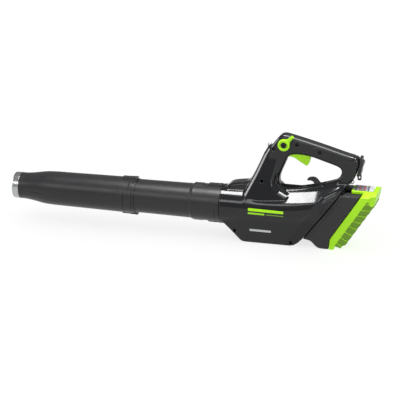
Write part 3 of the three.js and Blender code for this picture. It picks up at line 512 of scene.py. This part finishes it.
# Zones of rougher finish: extra roughness, and lines as (x, z, towards x, towards z).
GRIP_ZONE = (0.26, [(176, 150, 1, 0.27), (322, 150, -1, -0.27), (250, 128, -0.27, 1), (250, 182, -0.3, -1)])
BELLY_ZONE = (0.24, [(48, -15, 0.03, -1)])
REAR_ZONE = (0.22, [(213, -16, 0.8, -0.6), (266, 48, 0.486, -0.874)])
DULL = [GRIP_ZONE, BELLY_ZONE, REAR_ZONE]
LOOKS = {
    "gloss_black": plastic("gloss_black", (0.007, 0.0073, 0.0084), 0.12, 0.012, marks=MARKS, dull=DULL),
    "satin_black": plastic("satin_black", (0.013, 0.013, 0.0142), 0.36, 0.10),
    "matt_black": plastic("matt_black", (0.016, 0.016, 0.017), 0.6, 0.3),
    "lime": plastic("lime", LIME_COLOUR, 0.36, 0.06),
    # a darker copy of the lime: painted shade for the recessed rib block between the battery cap's fins
    "painted_shade_lime": plastic("painted_shade_lime", (0.10, 0.22, 0.002), 0.55, 0.25),
    "rubber": plastic("rubber", (0.012, 0.012, 0.012), 0.8, 0.4),
    "circuit_board": plastic("circuit_board", (0.012, 0.09, 0.035), 0.35, 0.3, grain_scale=500.0),
    "cell_wrap": plastic("cell_wrap", (0.04, 0.14, 0.33), 0.25, 0.05),
    "copper": metal("copper", (0.55, 0.24, 0.1), 0.35, (2500, 300, 300)),
    "bright_steel": metal("bright_steel", (0.56, 0.57, 0.58), 0.24, (3000, 60, 60)),
    "steel": metal("steel", (0.62, 0.62, 0.64), 0.28, (2000, 200, 200)),
    "dark_steel": metal("dark_steel", (0.04, 0.04, 0.044), 0.4, (900, 900, 900)),
    "aluminium": metal("aluminium", (0.62, 0.63, 0.64), 0.35, (60, 1500, 1500)),
    "label": printed("label"),
}


# ------------------------------------------------------------------ body
HANDLE = rounded([
    (62, 40), (68, 66), (77, 82), (88.5, 102), (100, 119.5), (108.5, 138), (115, 151.5), (126, 167.5),
    (138, 183.2), (144, 190.4), (151, 195.4), (160, 196.8), (178, 193.2), (219, 183.4), (259, 173),
    (299, 161.9), (319, 156.6), (331, 154), (340.6, 150), (344.2, 142.6), (343, 126), (338, 109), (331, 94),
    (323, 80.5), (314, 66), (290, 30), (200, 10), (90, 10)])
LOOP = rounded([
    (146.5, 71), (146, 84), (150, 98), (159, 120), (165, 134.5), (171, 142), (184, 146), (205, 146),
    (228, 142.6), (252, 135.6), (278, 127.8), (291, 123.4), (298, 118.4), (300.5, 111.5), (299, 104),
    (294, 95), (284, 87), (262, 79), (245, 73.5), (212, 64), (190, 59.6), (168, 57.4), (154, 60.8)])
PANEL = [(56, 8), (64, 30), (74, 50), (94, 92), (113.5, 139), (122.5, 155.5), (146, 156), (137, 118),
         (128, 82), (131, 66), (146, 50), (166, 40), (180, 8)]
NOSE = rounded([(6.5, 20), (6.5, 41), (11, 49), (19, 56.5), (29, 61.2), (45, 64.4), (64, 67.6),
                (84, 77), (112, 84), (120, 20)])
BELLY = [(3, -10), (3, -33), (17.5, -45), (28, -53.3), (38, -62), (48, -71), (55.5, -77.3), (61, -79.8),
         (68, -80.5), (180, -80.5), (190.5, -78.3), (201, -71.5), (213.5, -58.6), (330, 98), (300, 60),
         (240, 30), (160, 12), (60, 0)]
REAR_PANEL = [(203.5, -16), (206, -23), (214, -30), (250, 0), (330, 90), (316, 82), (262, 52)]
GRIP_DENTS = [(232, 171, 9), (262, 160, 7), (281, 155.5, 8), (300, 150.5, 9)]  # x, z and half length
SHOULDER = math.radians(51.5)  # how far the flat on the barrel's shoulder looks up


def hull(x, y, z):
    """The barrel round the fan, the belly under it and the nose on top, without the handle."""
    across = np.abs(y)
    centre = spline(x, [0, 60, 120, 180, 240, 320], [0, 0, 0.6, 4.6, 15, 34])
    radius = spline(x, [0, 60, 120, 180, 240, 320], [49.8, 51.4, 53, 54.5, 54.8, 54.6])
    barrel = np.hypot(across, z - centre) - radius
    flat = 3.8 * step(x, 46, 104) + 1.5 * step(x, 150, 260)
    shoulder = across * math.cos(SHOULDER) + (z - centre) * math.sin(SHOULDER) - radius + flat
    barrel = common(barrel, shoulder, 0.8)
    dip = step(-outline(x, z, REAR_PANEL), -3, 9) * step(across, 12, 24)
    barrel = barrel + 4.4 * dip
    barrel = np.maximum(barrel, 0.6 - x)
    half = 48.3 - 9 * (1 - step(x, 6, 66)) - 1.5 * step(-z, 50, 80)
    belly = prism(outline(x, z, BELLY), across - half, 5)
    nose = prism(outline(x, z, NOSE), across - NOSE_HALF, 9)
    ledge = 0.9 * step(-z, 14.2, 16) * step(x, 30, 50)
    return fuse(fuse(barrel + ledge, belly, 2.5), nose, 3)


def handle(x, y, z):
    across = np.abs(y)
    section = np.maximum(outline(x, z, HANDLE), -outline(x, z, LOOP))
    grip = prism(section, across - GRIP_HALF, 12)
    for dx, dz, reach in GRIP_DENTS:
        far = np.hypot((x - dx) / reach, (z - dz) / 3.2)
        grip = grip + 0.7 * (1 - step(far, 0.3, 1.0)) * step(across, 10, 15)
    joint_line = np.abs((x - 333.5) + 0.2 * (z - 150))
    return grip + 0.9 * (1 - step(joint_line, 0.5, 1.4)) * step(z, 104, 112)


def strut(x, y, z):
    """The front foot of the handle: flat sides that spread downwards, with a broad bevel round them."""
    flat = outline(x, z, PANEL)
    across = np.abs(y) - 15.5 - np.clip(150 - z, 0, 140) * 0.225
    bevel = (flat + across) * 0.707
    front = (20 * (flat - 7) + 9 * (across + 7)) / 21.9
    return common(common(common(flat - 10, across, 1.5), bevel, 0.9), front, 1.6)


def body_outside(x, y, z):
    seam = behind_seam(x, z)
    main = np.maximum(hull(x, y, z), seam)
    handle_end = np.minimum(seam, 84 - z)
    whole = fuse(main, np.maximum(handle(x, y, z), handle_end), 7)
    whole = fuse(whole, strut(x, y, z), 3.5)
    return np.maximum(whole, -np.maximum(-seam, z - 82.5))


def shell_cuts(x, y, z, screws):
    """Everything cut through the shell, as one field."""
    cuts = [rod_x(x, y, z, -5, 3, DUCT_MOUTH), rod_x(x, y, z, 2.6, 160, DUCT_BORE),
            box(x, y, z, (78, -34, -90), (172, 34, -70), 2),
            box(x, y, z, (71.6, -40.4, -78), (178.4, 40.4, -71)),
            box(x, y, z, (161, -9.8, 128), (226, 9.8, 164.3), 1.5),
            box(x, y, z, (213, -5.8, 50), (262, 5.8, 92), 1),
            box(x, y, z, (250, -8.8, 56), (335, 8.8, 70.6))]
    if screws:
        cuts.append(disc(x, y, z, LEVER_PIVOT, -40, 0, 6.4))
        cuts += [disc(x, y, z, (sx, sz), -70, -seat, 4.1) for sx, sz, seat in SCREWS]
    result = cuts[0]
    for one in cuts[1:]:
        result = np.minimum(result, one)
    return result


def shell(side):
    def field(x, y, z):
        outside = body_outside(x, y, z)
        inside = np.maximum(outside + WALL, behind_seam(x, z) + 5)
        hollow = np.maximum(outside, -inside)
        if side < 0:
            seats = [disc(x, y, z, (sx, sz), -seat - 0.2, seat, 6) for sx, sz, seat in SCREWS]
            seat = seats[0]
            for one in seats[1:]:
                seat = np.minimum(seat, one)
            hollow = np.minimum(hollow, np.maximum(seat, outside))
        return carve(hollow, shell_cuts(x, y, z, side < 0), 1.2)
    return field


def build_body():
    for name, side in (("left_housing", -1), ("right_housing", 1)):
        low, high = (0, -56 if side < 0 else -2, -82), (346, 2 if side < 0 else 56, 199)
        shape = mould(name + "_shell", shell(side), low, high, 1.6, side)
        piece(shape, "base", "gloss_black", LOOKS["gloss_black"], name)


# ------------------------------------------------------------------ battery and its bay
BAY = [(213.6, -59), (231.5, -62.4), (237, -66.5), (242, -71.6), (247, -76), (252, -79), (257, -80.3),
       (263, -80.5), (277.5, -80.5), (281, -53.9), (355.7, 63), (351, 72.5), (311.2, 72.5)]


def shoulders(x, y, z):
    """Height above the sloping faces at both sides of the label."""
    tilt = math.radians(22.8)
    return (z - LABEL_Z) * math.cos(tilt) + (np.abs(y) - LABEL_HALF) * math.sin(tilt)


def bay(x, y, z):
    out, along = in_pack(x, z)
    outside = prism(outline(x, z, BAY), np.abs(y) - BAY_HALF, BAY_ROUNDING)
    outside = common(outside, shoulders(x, y, z), 7)
    rim = 0.7 * step(np.abs(behind_seam(x, z) - 9), 1.2, 0.4) * step(np.abs(y), 30, 40)
    well = box(out, y, along, (-40.8, -42, -68.6), (60, 42, 160), 2)
    cover = box(x, y, z, (300, -60, 70.2), (329, 60, 80))
    well = np.maximum(well, -cover)
    notch = box(x, y, z, (329, -60, 62.4), (420, 60, 95))
    socket = box(out, y, along, (-46.9, -17.35, -18.35), (-38, 17.35, 14.35))
    latch = box(x, y, z, (250, -8.8, 56), (331, 8.8, 70.6))
    open_part = np.minimum(np.minimum(well, notch), np.minimum(socket, latch))
    return carve(outside + rim, open_part, 1.0)


def case(x, y, z):
    out, along = in_pack(x, z)
    outside = box(out, y, along, (-40, -41.2, -67.8), (-1.2, 41.2, 130), 3)
    outside = common(outside, z - 62.1, 2)
    ridges = 0.5 * step(np.abs((along + 60) % 16 - 8), 6.4, 5.6) * step(np.abs(y), 30, 38)
    inside = box(out, y, along, (-37.4, -38.7, -65), (10, 38.7, 130), 2)
    inside = np.maximum(inside, z - 59)
    socket = box(out, y, along, (-60, -18, -19), (-35, 18, 15))
    notch = box(x, y, z, (319, -9, 57.9), (327.4, 9, 75))
    return np.maximum(outside + ridges, -np.minimum(inside, np.minimum(socket, notch)))


CROWN = [(12, 60), (33, 60), (37.6, 64), (37.2, 69), (34.6, 77), (31.6, 84), (27.6, 92), (24.4, 97.6),
         (22, 104), (12, 104)]


def fin_place(out, along):
    """Distance along the cap to the nearest fin, and how far on to the next. The fins fan out."""
    fanned = along - (out - 19) * (0.1 + 0.0056 * along)
    phase = ((fanned - FIRST_FIN) / FIN_PITCH) % 1
    return np.minimum(phase, 1 - phase) * FIN_PITCH, phase


def rib_block(x, y, z, grown):
    """The stepped block under the fins, with sides that slope in towards the rear."""
    out, along = in_pack(x, z)
    away, phase = fin_place(out, along)
    reach = 37.2 + 2.6 * step(phase, 0, 0.5) * step(phase, 1, 0.75) + grown
    reach = reach - 5 * step(-along, 58, 78) + 0.4 * step(along, 40, 60)
    ends = np.maximum(-77 - along, along - 66) - grown
    side = (np.abs(y) - 43.6 - grown + 0.6 * np.maximum(out - 18, 0)) * 0.86
    block = np.maximum(np.maximum(out - reach, 14 - out), ends)
    return prism(block * 0.9, side, 1.2), away


def ribs(x, y, z):
    block, away = rib_block(x, y, z, 0)
    cut = box(x, y, z, (329, -60, 60), (420, 60, 95))
    grain = 0.25 * step(np.abs((np.abs(y) + 0.6 * z) % 3 - 1.5), 1.1, 0.5)
    return np.maximum(np.maximum(block + grain, -cut), FLOOR_Z + 0.5 - z)


def cap(x, y, z):
    out, along = in_pack(x, z)
    across = np.abs(y)
    band_edge = outline(out, along, [(-0.8, -69.4), (11.4, -93.2), (24, -93.2), (18.4, -74), (18.2, 130),
                               (-0.8, 130)])
    band = prism(band_edge, across - CAP_HALF, 2.2)
    block, away = rib_block(x, y, z, 1.1)
    fins = np.maximum(block, away - 0.95)
    whole = fuse(band, fins, 1)
    crown = prism(outline(out, along, CROWN), across - 39 + 0.2 * np.maximum(out - 20, 0), 3)
    whole = fuse(whole, crown, 3)
    tongue = box(x, y, z, (329.8, -24.5, 62.9), (362, 24.5, 76), 1)
    whole = np.minimum(whole, tongue)
    whole = common(whole, z - LABEL_Z, 1.2)
    whole = common(whole, shoulders(x, y, z), 1.2)
    seat = box(x, y, z, (333, -21, LABEL_Z - 0.1), (383, 21, 90))
    inside = box(out, y, along, (-10, -40, -64), (15, 40, 60), 2)
    clear = np.maximum(box(out, y, along, (-60, -60, -100), (-0.8, 60, 200)), z - 62.8)
    whole = np.maximum(whole, -np.minimum(np.minimum(inside, seat), clear))
    return np.maximum(whole, FLOOR_Z + 0.3 - z)


def build_battery():
    shape = mould("battery_bay_shell", bay, (212, -47, -82), (360, 47, 74), 1.5)
    piece(shape, "base", "satin_black", LOOKS["satin_black"], "battery_bay")
    shape = mould("battery_case_shell", case, (248, -42, -60), (360, 42, 64), 1.8)
    piece(shape, "battery", "satin_black", LOOKS["matt_black"], "battery_case")
    shape = mould("battery_end_cap", cap, (274, -46, -82), (396, 46, 73), 1.15)
    piece(shape, "battery", "lime", LOOKS["lime"], "battery_cap")
    # The rib block between the fins gets the darker lime, which paints the shade of its recesses.
    shape = mould("battery_grip_ribs", ribs, (280, -46, -82), (396, 46, 62), 1.4)
    piece(shape, "battery", "lime", LOOKS["painted_shade_lime"])


# ------------------------------------------------------------------ nozzle and tube
ANGLES = np.arange(240) / 240 * 2 * math.pi
SIDE, UP = -np.cos(ANGLES), np.sin(ANGLES)


def bosses(x, start, end, r):
    """Height of the twist-lock bosses on the top and bottom of a sleeve."""
    lateral = np.abs(SIDE) * r
    boss = 3.2 * step(lateral, 9.6, 8.4) * step(x, start - 0.7, start + 0.5)
    ridge = 1.2 * step(lateral, 6.6, 5.6) * step(x, end - 5.6, end - 4.8)
    return boss + ridge


def nozzle_radius(x):
    xs = [-529, -519, -508, -497, -486, -476, -465, -454, -442, -412, -369, -327, -285, -262, -221]
    rs = [33.25, 33.2, 34.0, 35.5, 37.3, 39.2, 40.9, 41.9, 42.5, 43.0, 43.5, 44.1, 44.6, 44.9, 45.2]
    r = float(spline(x, xs, rs)) + np.zeros(len(ANGLES))
    for turn in range(6):
        centre = math.radians(-3 + 60 * turn)
        arc = r * ((ANGLES - centre + math.pi) % (2 * math.pi) - math.pi)
        depth = (1 - ((x + 478.5) / 20) ** 2) - (arc / 3.4) ** 2
        r = r - 1.5 * np.clip(depth, 0, 1) ** 0.6
    z = r * UP
    window = step(z, 5.4, 6.6) * step(z, 20.6, 19.4) * step(x, -268, -267) * step(x, -252.4, -253.4)
    half_pad = step(x, -260.4, -259.6)
    r = r + (1.4 - 0.6 * half_pad) * window
    groove = step(np.abs(x + 249.5), 1.1, 0.5) * step(z, 24, 20)
    lip = 0.5 * step(x, -239, -237)
    end = 2.0 * step(x, -228.3, -227.7)
    boss = bosses(x, -260, -221, 45.2)
    return r - 0.9 * groove + lip - np.where(boss > 2, 0, end) + boss


def tube_radius(x):
    xs = [-221, -200, -159, -117, -84, -78.6, -75.8, -65, -44, -34, -13, -1]
    rs = [42.2, 42.3, 42.7, 43.1, 43.6, 43.8, 45.2, 45.9, 46.3, 46.6, 46.9, 47.0]
    r = float(spline(x, xs, rs)) + np.zeros(len(ANGLES))
    z = r * UP
    lateral = np.abs(SIDE) * r
    pad = 1.4 * step(lateral, 12.6, 11.6) * step(x, -73.6, -72.6) * step(x, -49.4, -50.4)
    groove = step(np.abs(x + 12), 1.1, 0.5) * step(z, 3, 0)
    stud = 0.8 * step(np.hypot(x + 13, z + 2), 2.2, 1.6)
    return r + pad + stud - 0.8 * groove + bosses(x, -36, -1, 46.6)


def dense(start, end, gap, spots):
    """Positions from start to end, close together near the given spots."""
    xs = list(np.arange(start, end, gap)) + [end]
    for low, high in spots:
        xs += list(np.arange(low, high, 0.6))
    return sorted(set(round(x, 2) for x in xs if start <= x <= end))


def build_tubes():
    rim = [(x, float(r)) for x, r in [(-543.4, 28.6), (-543.4, 30.6), (-529.05, 30.6), (-529.05, 33.3)]]
    spots = [(-268, -248), (-241, -237), (-229, -221)]
    skin = [(x, nozzle_radius(x)) for x in dense(-529, -221, 3.5 * COARSE, spots)]
    bore = [(-221, 42.6), (-263, 42.6), (-263, 40.2), (-440, 39.8), (-465, 38.2), (-497, 32.6), (-529, 29.2)]
    piece(lathe("nozzle_shell", rim + skin[1:] + bore, len(ANGLES)), "nozzle", "satin_black",
          LOOKS["satin_black"], "nozzle")
    spots = [(-80, -71), (-51, -48), (-38, -35), (-16, -10), (-7.5, -5)]
    skin = [(x, tube_radius(x)) for x in dense(-220.4, -1, 4 * COARSE, spots)]
    front = [(-262, 39), (-262, 41.1), (-261.6, 41.5), (-246.5, 41.5), (-246.5, 40.1), (-241.7, 40.1),
             (-241.7, 41.5), (-220.5, 41.5)]
    bore = [(-1, 44.2), (-41.5, 44.2), (-41.5, 41.2), (-90, 40.8)]
    piece(lathe("extension_tube_shell", front + skin + bore, len(ANGLES)), "tube", "satin_black",
          LOOKS["satin_black"], "extension_tube")
    ring = [(-546, 29.8), (-546, 31.4), (-545.6, 32.2), (-544.6, 32.9), (-543.6, 33.2), (-541.6, 33.25),
            (-541.4, 33.0), (-540.8, 33.0), (-540.6, 33.25), (-533.6, 33.3), (-533.4, 33.05), (-532.8, 33.05),
            (-532.6, 33.3), (-530.4, 33.3), (-529.6, 33.1), (-529.4, 32.8), (-529.4, 31.1), (-543.7, 31.1),
            (-543.7, 29.8)]
    piece(lathe("tip_ring_turned", ring, len(ANGLES)), "nozzle", "bright_steel", LOOKS["bright_steel"],
          "nozzle_tip_ring")


# ------------------------------------------------------------------ controls and fittings
TRIGGER = rounded([(163, 138), (172, 139.4), (181, 137.6), (190, 132), (200, 126), (208.5, 121.2),
                   (213, 119.2), (216, 121.4), (218.8, 127), (220.4, 134), (221.4, 142), (220.6, 150.6),
                   (205, 153.6), (190, 156), (176, 158), (166, 157), (162.6, 148)], 4)
CLAW = [(213.6, 83.4), (217, 86.6), (222, 88.6), (229, 89.4), (234, 88.6), (238.5, 85.4), (243, 80),
        (249, 74), (256, 69.6), (274, 67.2), (306, 66.4), (326, 65.8), (326, 59), (321, 59), (319.5, 63.2),
        (300, 62.8), (274, 60.5), (247, 60.5), (238, 64.4), (232.4, 69.4), (231.8, 74), (229.4, 78.4),
        (224.5, 80.6), (219, 80.6), (215.4, 79.8)]
BRACKET = rounded([
    (344.9, 151.6), (348.4, 152.2), (351.4, 149.8), (351.8, 146), (350.4, 143.6), (353.2, 141.4),
    (355.2, 137), (354.2, 132.6), (351.2, 124), (349.6, 113.6), (346.6, 105.2), (341.2, 103),
    (338.9, 106.5), (341.3, 115), (344.4, 128), (345.6, 142)], 4)


def trigger(x, y, z):
    shape = prism(outline(x, z, TRIGGER), np.abs(y) - TRIGGER_HALF, 2.4)
    serration = 0.35 * step(np.abs((x * 0.8 - z * 0.6) % 5 - 2.5), 0.9, 0.3) * step(z, 150, 140)
    pin = disc(x, y, z, TRIGGER_PIVOT, -20, 20, 2.4)
    radius, depth = SPRING_POCKET
    pocket = np.maximum(np.hypot(x - SPRING_SEAT[0], y) - radius, SPRING_SEAT[1] - depth - z)
    return carve(carve(shape + serration, pin, 0.6), pocket, 0.6)


def speed_lever(x, y, z):
    px, pz = LEVER_PIVOT
    dx, dz = LEVER_TIP[0] - px, LEVER_TIP[1] - pz
    length = math.hypot(dx, dz)
    t = ((x - px) * dx + (z - pz) * dz) / length
    w = np.abs((x - px) * dz - (z - pz) * dx) / length
    away = np.hypot(x - px, z - pz)
    round_part = disc(x, y, z, LEVER_PIVOT, -26.4, -18.3, 14.8, 1.8)
    width = spline(t, [8, 18, 26, 36], [9.5, 5.0, 4.0, 4.2])
    arm_plan = np.maximum(w - width, np.maximum(6 - t, t - length + 1.8))
    arm = prism(arm_plan, np.maximum(-26.9 - y, y + 20.7), 1.6)
    whole = fuse(round_part, arm, 3)
    groove = np.maximum(np.maximum(away - 10.4, 7.6 - away), y + 25.2)
    knurl = 0.35 * step(np.cos(np.arctan2(z - pz, x - px) * 36), 0.0, 0.8) * step(away, 13.6, 14.6)
    whole = carve(whole + knurl, groove, 0.5)
    recess = disc(x, y, z, LEVER_PIVOT, -60, -21.4, 7.4)
    bore = np.minimum(recess, disc(x, y, z, LEVER_PIVOT, -60, 0, 4.3))
    return carve(whole, bore, 0.8)


def release_lever(x, y, z):
    shape = prism(outline(x, z, CLAW), np.abs(y) - CLAW_HALF, 1.1)
    ridges = 0.3 * step(np.abs(x % 3 - 1.5), 0.7, 0.2) * step(z, 84.5, 86) * step(x, 240, 236)
    return carve(shape + ridges, disc(x, y, z, RELEASE_PIVOT, -20, 20, 2.4), 0.5)


def strap_bracket(x, y, z):
    shape = prism(outline(x, z, BRACKET), np.abs(y) - BRACKET_HALF, 1.5)
    slot = box(x, y, z, (330, -3.2, 96), (362, 3.2, 114.5), 0.8)
    groove = box(x, y, z, (353, -5.5, 119), (362, 5.5, 133), 0.6)
    pin = disc(x, y, z, LOOP_PIVOT, -20, 20, 1.8)
    return carve(shape, np.minimum(np.minimum(slot, pin), groove), 0.5)


def strap_loop(x, y, z):
    dx, down = np.abs(x - LOOP_PIVOT[0]), LOOP_PIVOT[1] - z
    edge = outline(dx, down, [(-8, -3.6), (2, -3.6), (4.2, 0), (5, 4), (5, 13.5), (3, 16.4), (-8, 16.4)])
    shape = prism(edge, np.abs(y) - 2.5, 1.1)
    hole = box(dx, y, down, (-9, -9, 5.4), (2.0, 9, 12.4), 0.6)
    return carve(shape, np.minimum(hole, disc(x, y, z, LOOP_PIVOT, -9, 9, 1.9)), 0.4)


def screw(place_at):
    sx, sz, seat = place_at

    def field(x, y, z):
        head = disc(x, y, z, (sx, sz), -seat - 3.2, -seat - 0.4, 3.4, 0.7)
        shank = disc(x, y, z, (sx, sz), -seat - 1, -seat + 9, 1.5 + 0.25 * step(np.sin(y * 6.0), -0.5, 0.5))
        turn = np.arctan2(z - sz, x - sx)
        star = np.hypot(x - sx, z - sz) - 1.7 - 0.35 * np.cos(6 * turn)
        drive = np.maximum(star, y + seat + 1.6)
        return np.maximum(np.minimum(head, shank), -drive)
    return field


def lever_shaft(x, y, z):
    head = disc(x, y, z, LEVER_PIVOT, -25.6, -21.8, 7.0, 0.8)
    rod = disc(x, y, z, LEVER_PIVOT, -22, -2, 3.9)
    turn = np.arctan2(z - LEVER_PIVOT[1], x - LEVER_PIVOT[0])
    star = np.hypot(x - LEVER_PIVOT[0], z - LEVER_PIVOT[1]) - 2.4 - 0.5 * np.cos(6 * turn)
    return np.maximum(np.minimum(head, rod), -np.maximum(star, y + 23))


def wire_eye(name, foot, out, reach, spread_by, node_name):
    """A bent wire loop standing out of the handle."""
    nx, nz = out
    spots = [(-1, -5), (-1, 1), (-0.92, reach * 0.72), (-0.4, reach * 0.97), (0.4, reach * 0.97),
             (0.92, reach * 0.72), (1, 1), (1, -5)]
    curve = bpy.data.curves.new(name, "CURVE")
    curve.dimensions = "3D"
    curve.bevel_depth = 0.00125
    curve.bevel_resolution = 4
    curve.resolution_u = 10
    line = curve.splines.new("BEZIER")
    line.bezier_points.add(len(spots) - 1)
    for point, (k, d) in zip(line.bezier_points, spots):
        at = (foot[0] + nz * k * spread_by + nx * d, 0, foot[1] - nx * k * spread_by + nz * d)
        point.co = Vector(place([at])[0])
        point.handle_left_type = point.handle_right_type = "AUTO"
    made = bpy.data.objects.new(name, curve)
    bpy.context.scene.collection.objects.link(made)
    piece(made, "base", "bright_steel", LOOKS["bright_steel"], node_name)


def build_fittings():
    parts = [
        ("trigger_blade", trigger, (161, -10, 116), (223, 10, 160), 0.8, "trigger", "lime", "trigger"),
        ("speed_lever_knob", speed_lever, (141, -28, 156), (186, -17, 201), 0.6, "lever", "lime",
         "speed_lever"),
        ("release_claw", release_lever, (212, -6, 58), (328, 6, 91), 0.8, "release", "satin_black",
         "release_lever"),
        ("strap_bracket_clip", strap_bracket, (336, -14, 101), (358, 14, 155), 0.8, "base", "satin_black",
         "strap_bracket"),
        ("strap_ring", strap_loop, (338, -3, 90), (351, 3, 112), 0.5, "loop", "satin_black", "strap_loop"),
        ("lever_hub", lever_shaft, (150, -26, 164), (166, -1, 181), 0.5, "lever", "dark_steel",
         "speed_lever_shaft"),
    ]
    for name, field, low, high, size, body, slot, replaced in parts:
        piece(mould(name, field, low, high, size), body, slot, LOOKS[slot], replaced)
    for i, (sx, sz, seat) in enumerate(SCREWS, 1):
        low, high = (sx - 4, -seat - 4, sz - 4), (sx + 4, -seat + 10, sz + 4)
        shape = mould(f"screw_{i}", screw((sx, sz, seat)), low, high, 0.4)
        piece(shape, "base", "dark_steel", LOOKS["dark_steel"], f"housing_screw_{i}")
    wire_eye("front_wire_eye", (122.4, 161.5), (-0.853, 0.522), 9, 5, "front_strap_eye")
    wire_eye("rear_wire_eye", (325.4, 85.5), (0.83, -0.557), 4.6, 4.5, "rear_strap_eye")


# ------------------------------------------------------------------ inner parts
TURNED = [
    ("fan_duct", "base", "matt_black", [
        (-40, 40.6), (-40, 43), (-39.5, 43.5), (-24.5, 43.5), (-24.5, 41.9), (-19.7, 41.9), (-19.7, 43.5),
        (3, 43.5), (3, 46.4), (149, 46.4), (152, 47.3), (154, 48.2), (156, 49.2), (156, 47.6), (154, 46.2),
        (152, 44.9), (149, 43.6), (60, 43.6), (8, 40.9)]),
    ("tail_cone", "base", "matt_black", [
        (27, 0.01), (27.6, 3), (30, 8.5), (34, 12.8), (38, 16), (43, 18.6), (48, 20.2), (53, 20.9),
        (57.6, 21), (57.6, 8.4), (52, 8.4), (52, 3.2), (50, 3.2), (50, 0.01)]),
    ("spinner", "rotor", "matt_black", [
        (144.4, 20.8), (148, 20.2), (152, 19), (156, 16.7), (160, 13.5), (163, 9.4), (164.8, 5.6),
        (166, 0.01), (153, 0.01), (153, 7.2), (144.4, 7.2)]),
]


def build_inner_parts():
    """Turned inner parts, a look for every node, and a mesh of its own for the trigger spring."""
    for name, body, slot, profile in TURNED:
        piece(lathe(name + "_turned", profile, 96), body, slot, LOOKS[slot], name)
    slots = {s["node"]: s["material_slot"] for s in frame["record"]["subparts"]}
    for name, obj in frame["nodes"].items():
        obj.data.materials.clear()
        obj.data.materials.append(LOOKS[slots[name]])
    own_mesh(frame["nodes"]["trigger_spring"])


# ------------------------------------------------------------------ stage
def area_light(name, at, aim, width, depth, power):
    data = bpy.data.lights.new(name, "AREA")
    data.shape = "RECTANGLE"
    data.size, data.size_y, data.energy = width, depth, power
    lamp = bpy.data.objects.new(name, data)
    lamp.location = at
    lamp.rotation_mode = "QUATERNION"
    lamp.rotation_quaternion = (Vector(aim) - Vector(at)).to_track_quat("-Z", "Y")
    lamp.visible_camera = False
    bpy.context.scene.collection.objects.link(lamp)
    return lamp


def build_floor():
    mesh = bpy.data.meshes.new("floor")
    reach = 25
    mesh.from_pydata([(-reach, -reach, 0), (reach, -reach, 0), (reach, reach, 0), (-reach, reach, 0)], [],
                     [(0, 1, 2, 3)])
    floor = bpy.data.objects.new("floor", mesh)
    bpy.context.scene.collection.objects.link(floor)
    material, tree, shader, where = blank("studio_floor")
    cloud = noise(tree, where, 3.0)
    tint = node(tree, "ShaderNodeMix", {"Factor": cloud, "A": (0.80, 0.80, 0.80, 1),
                                        "B": (0.84, 0.84, 0.84, 1)}, data_type="RGBA")
    tree.links.new(tint.outputs["Result"], shader.inputs["Base Color"])
    shader.inputs["Roughness"].default_value = 0.9
    shader.inputs["Specular IOR Level"].default_value = 0.1
    mesh.materials.append(material)
    return floor


def build_lights(floor):
    """A long softbox overhead, a wide one on the left, one at each end, and a pale sky.
    The softboxes leave the floor alone. It has a lamp of its own, which casts no shadow."""
    lamps = [
        area_light("key", (0.29, -0.15, 1.6), (0.29, 0, 0.1), 1.42, 0.34, 44),
        area_light("wall", (-0.85, -2.4, 1.68), (-0.1, 0, 0.1), 2.5, 0.55, 20),
        area_light("front_panel", (-2.3, 0.1, 0.5), (0, 0, 0.15), 1.0, 1.0, 24),
        area_light("rear_panel", (2.0, -1.15, 0.6), (0.2, 0, 0.15), 0.8, 1.1, 18),
    ]
    unlit = bpy.data.collections.new("floor_not_lit")
    unlit.objects.link(floor)
    unlit.collection_objects[0].light_linking.link_state = "EXCLUDE"
    for lamp in lamps:
        lamp.light_linking.receiver_collection = unlit
    sun = bpy.data.lights.new("floor_light", "SUN")
    sun.energy = 2.85
    sun.use_shadow = False
    lamp = bpy.data.objects.new("floor_light", sun)
    bpy.context.scene.collection.objects.link(lamp)
    lit = bpy.data.collections.new("floor_only")
    lit.objects.link(floor)
    lamp.light_linking.receiver_collection = lit
    world = bpy.data.worlds.new("studio")
    world.use_nodes = True
    world.node_tree.nodes["Background"].inputs["Color"].default_value = (1, 1, 1, 1)
    world.node_tree.nodes["Background"].inputs["Strength"].default_value = 0.35
    bpy.context.scene.world = world


def build_camera():
    turn, lift, distance = math.radians(15.0), math.radians(19.6), 6.0
    back = Vector((math.sin(turn) * math.cos(lift), -math.cos(turn) * math.cos(lift), math.sin(lift)))
    target = Vector(place([(-59.9, 0, 2.55)])[0])
    data = bpy.data.cameras.new("main_view")
    data.sensor_width = 36
    data.lens = 216
    camera = bpy.data.objects.new("main_view", data)
    camera.location = target + back * distance
    camera.rotation_mode = "QUATERNION"
    camera.rotation_quaternion = (-back).to_track_quat("-Z", "Y")
    bpy.context.scene.collection.objects.link(camera)
    bpy.context.scene.camera = camera


# ------------------------------------------------------------------ build
build_inner_parts()
build_body()
build_battery()
build_tubes()
build_fittings()
build_lights(build_floor())
build_camera()
bpy.context.scene.view_settings.view_transform = "Standard"
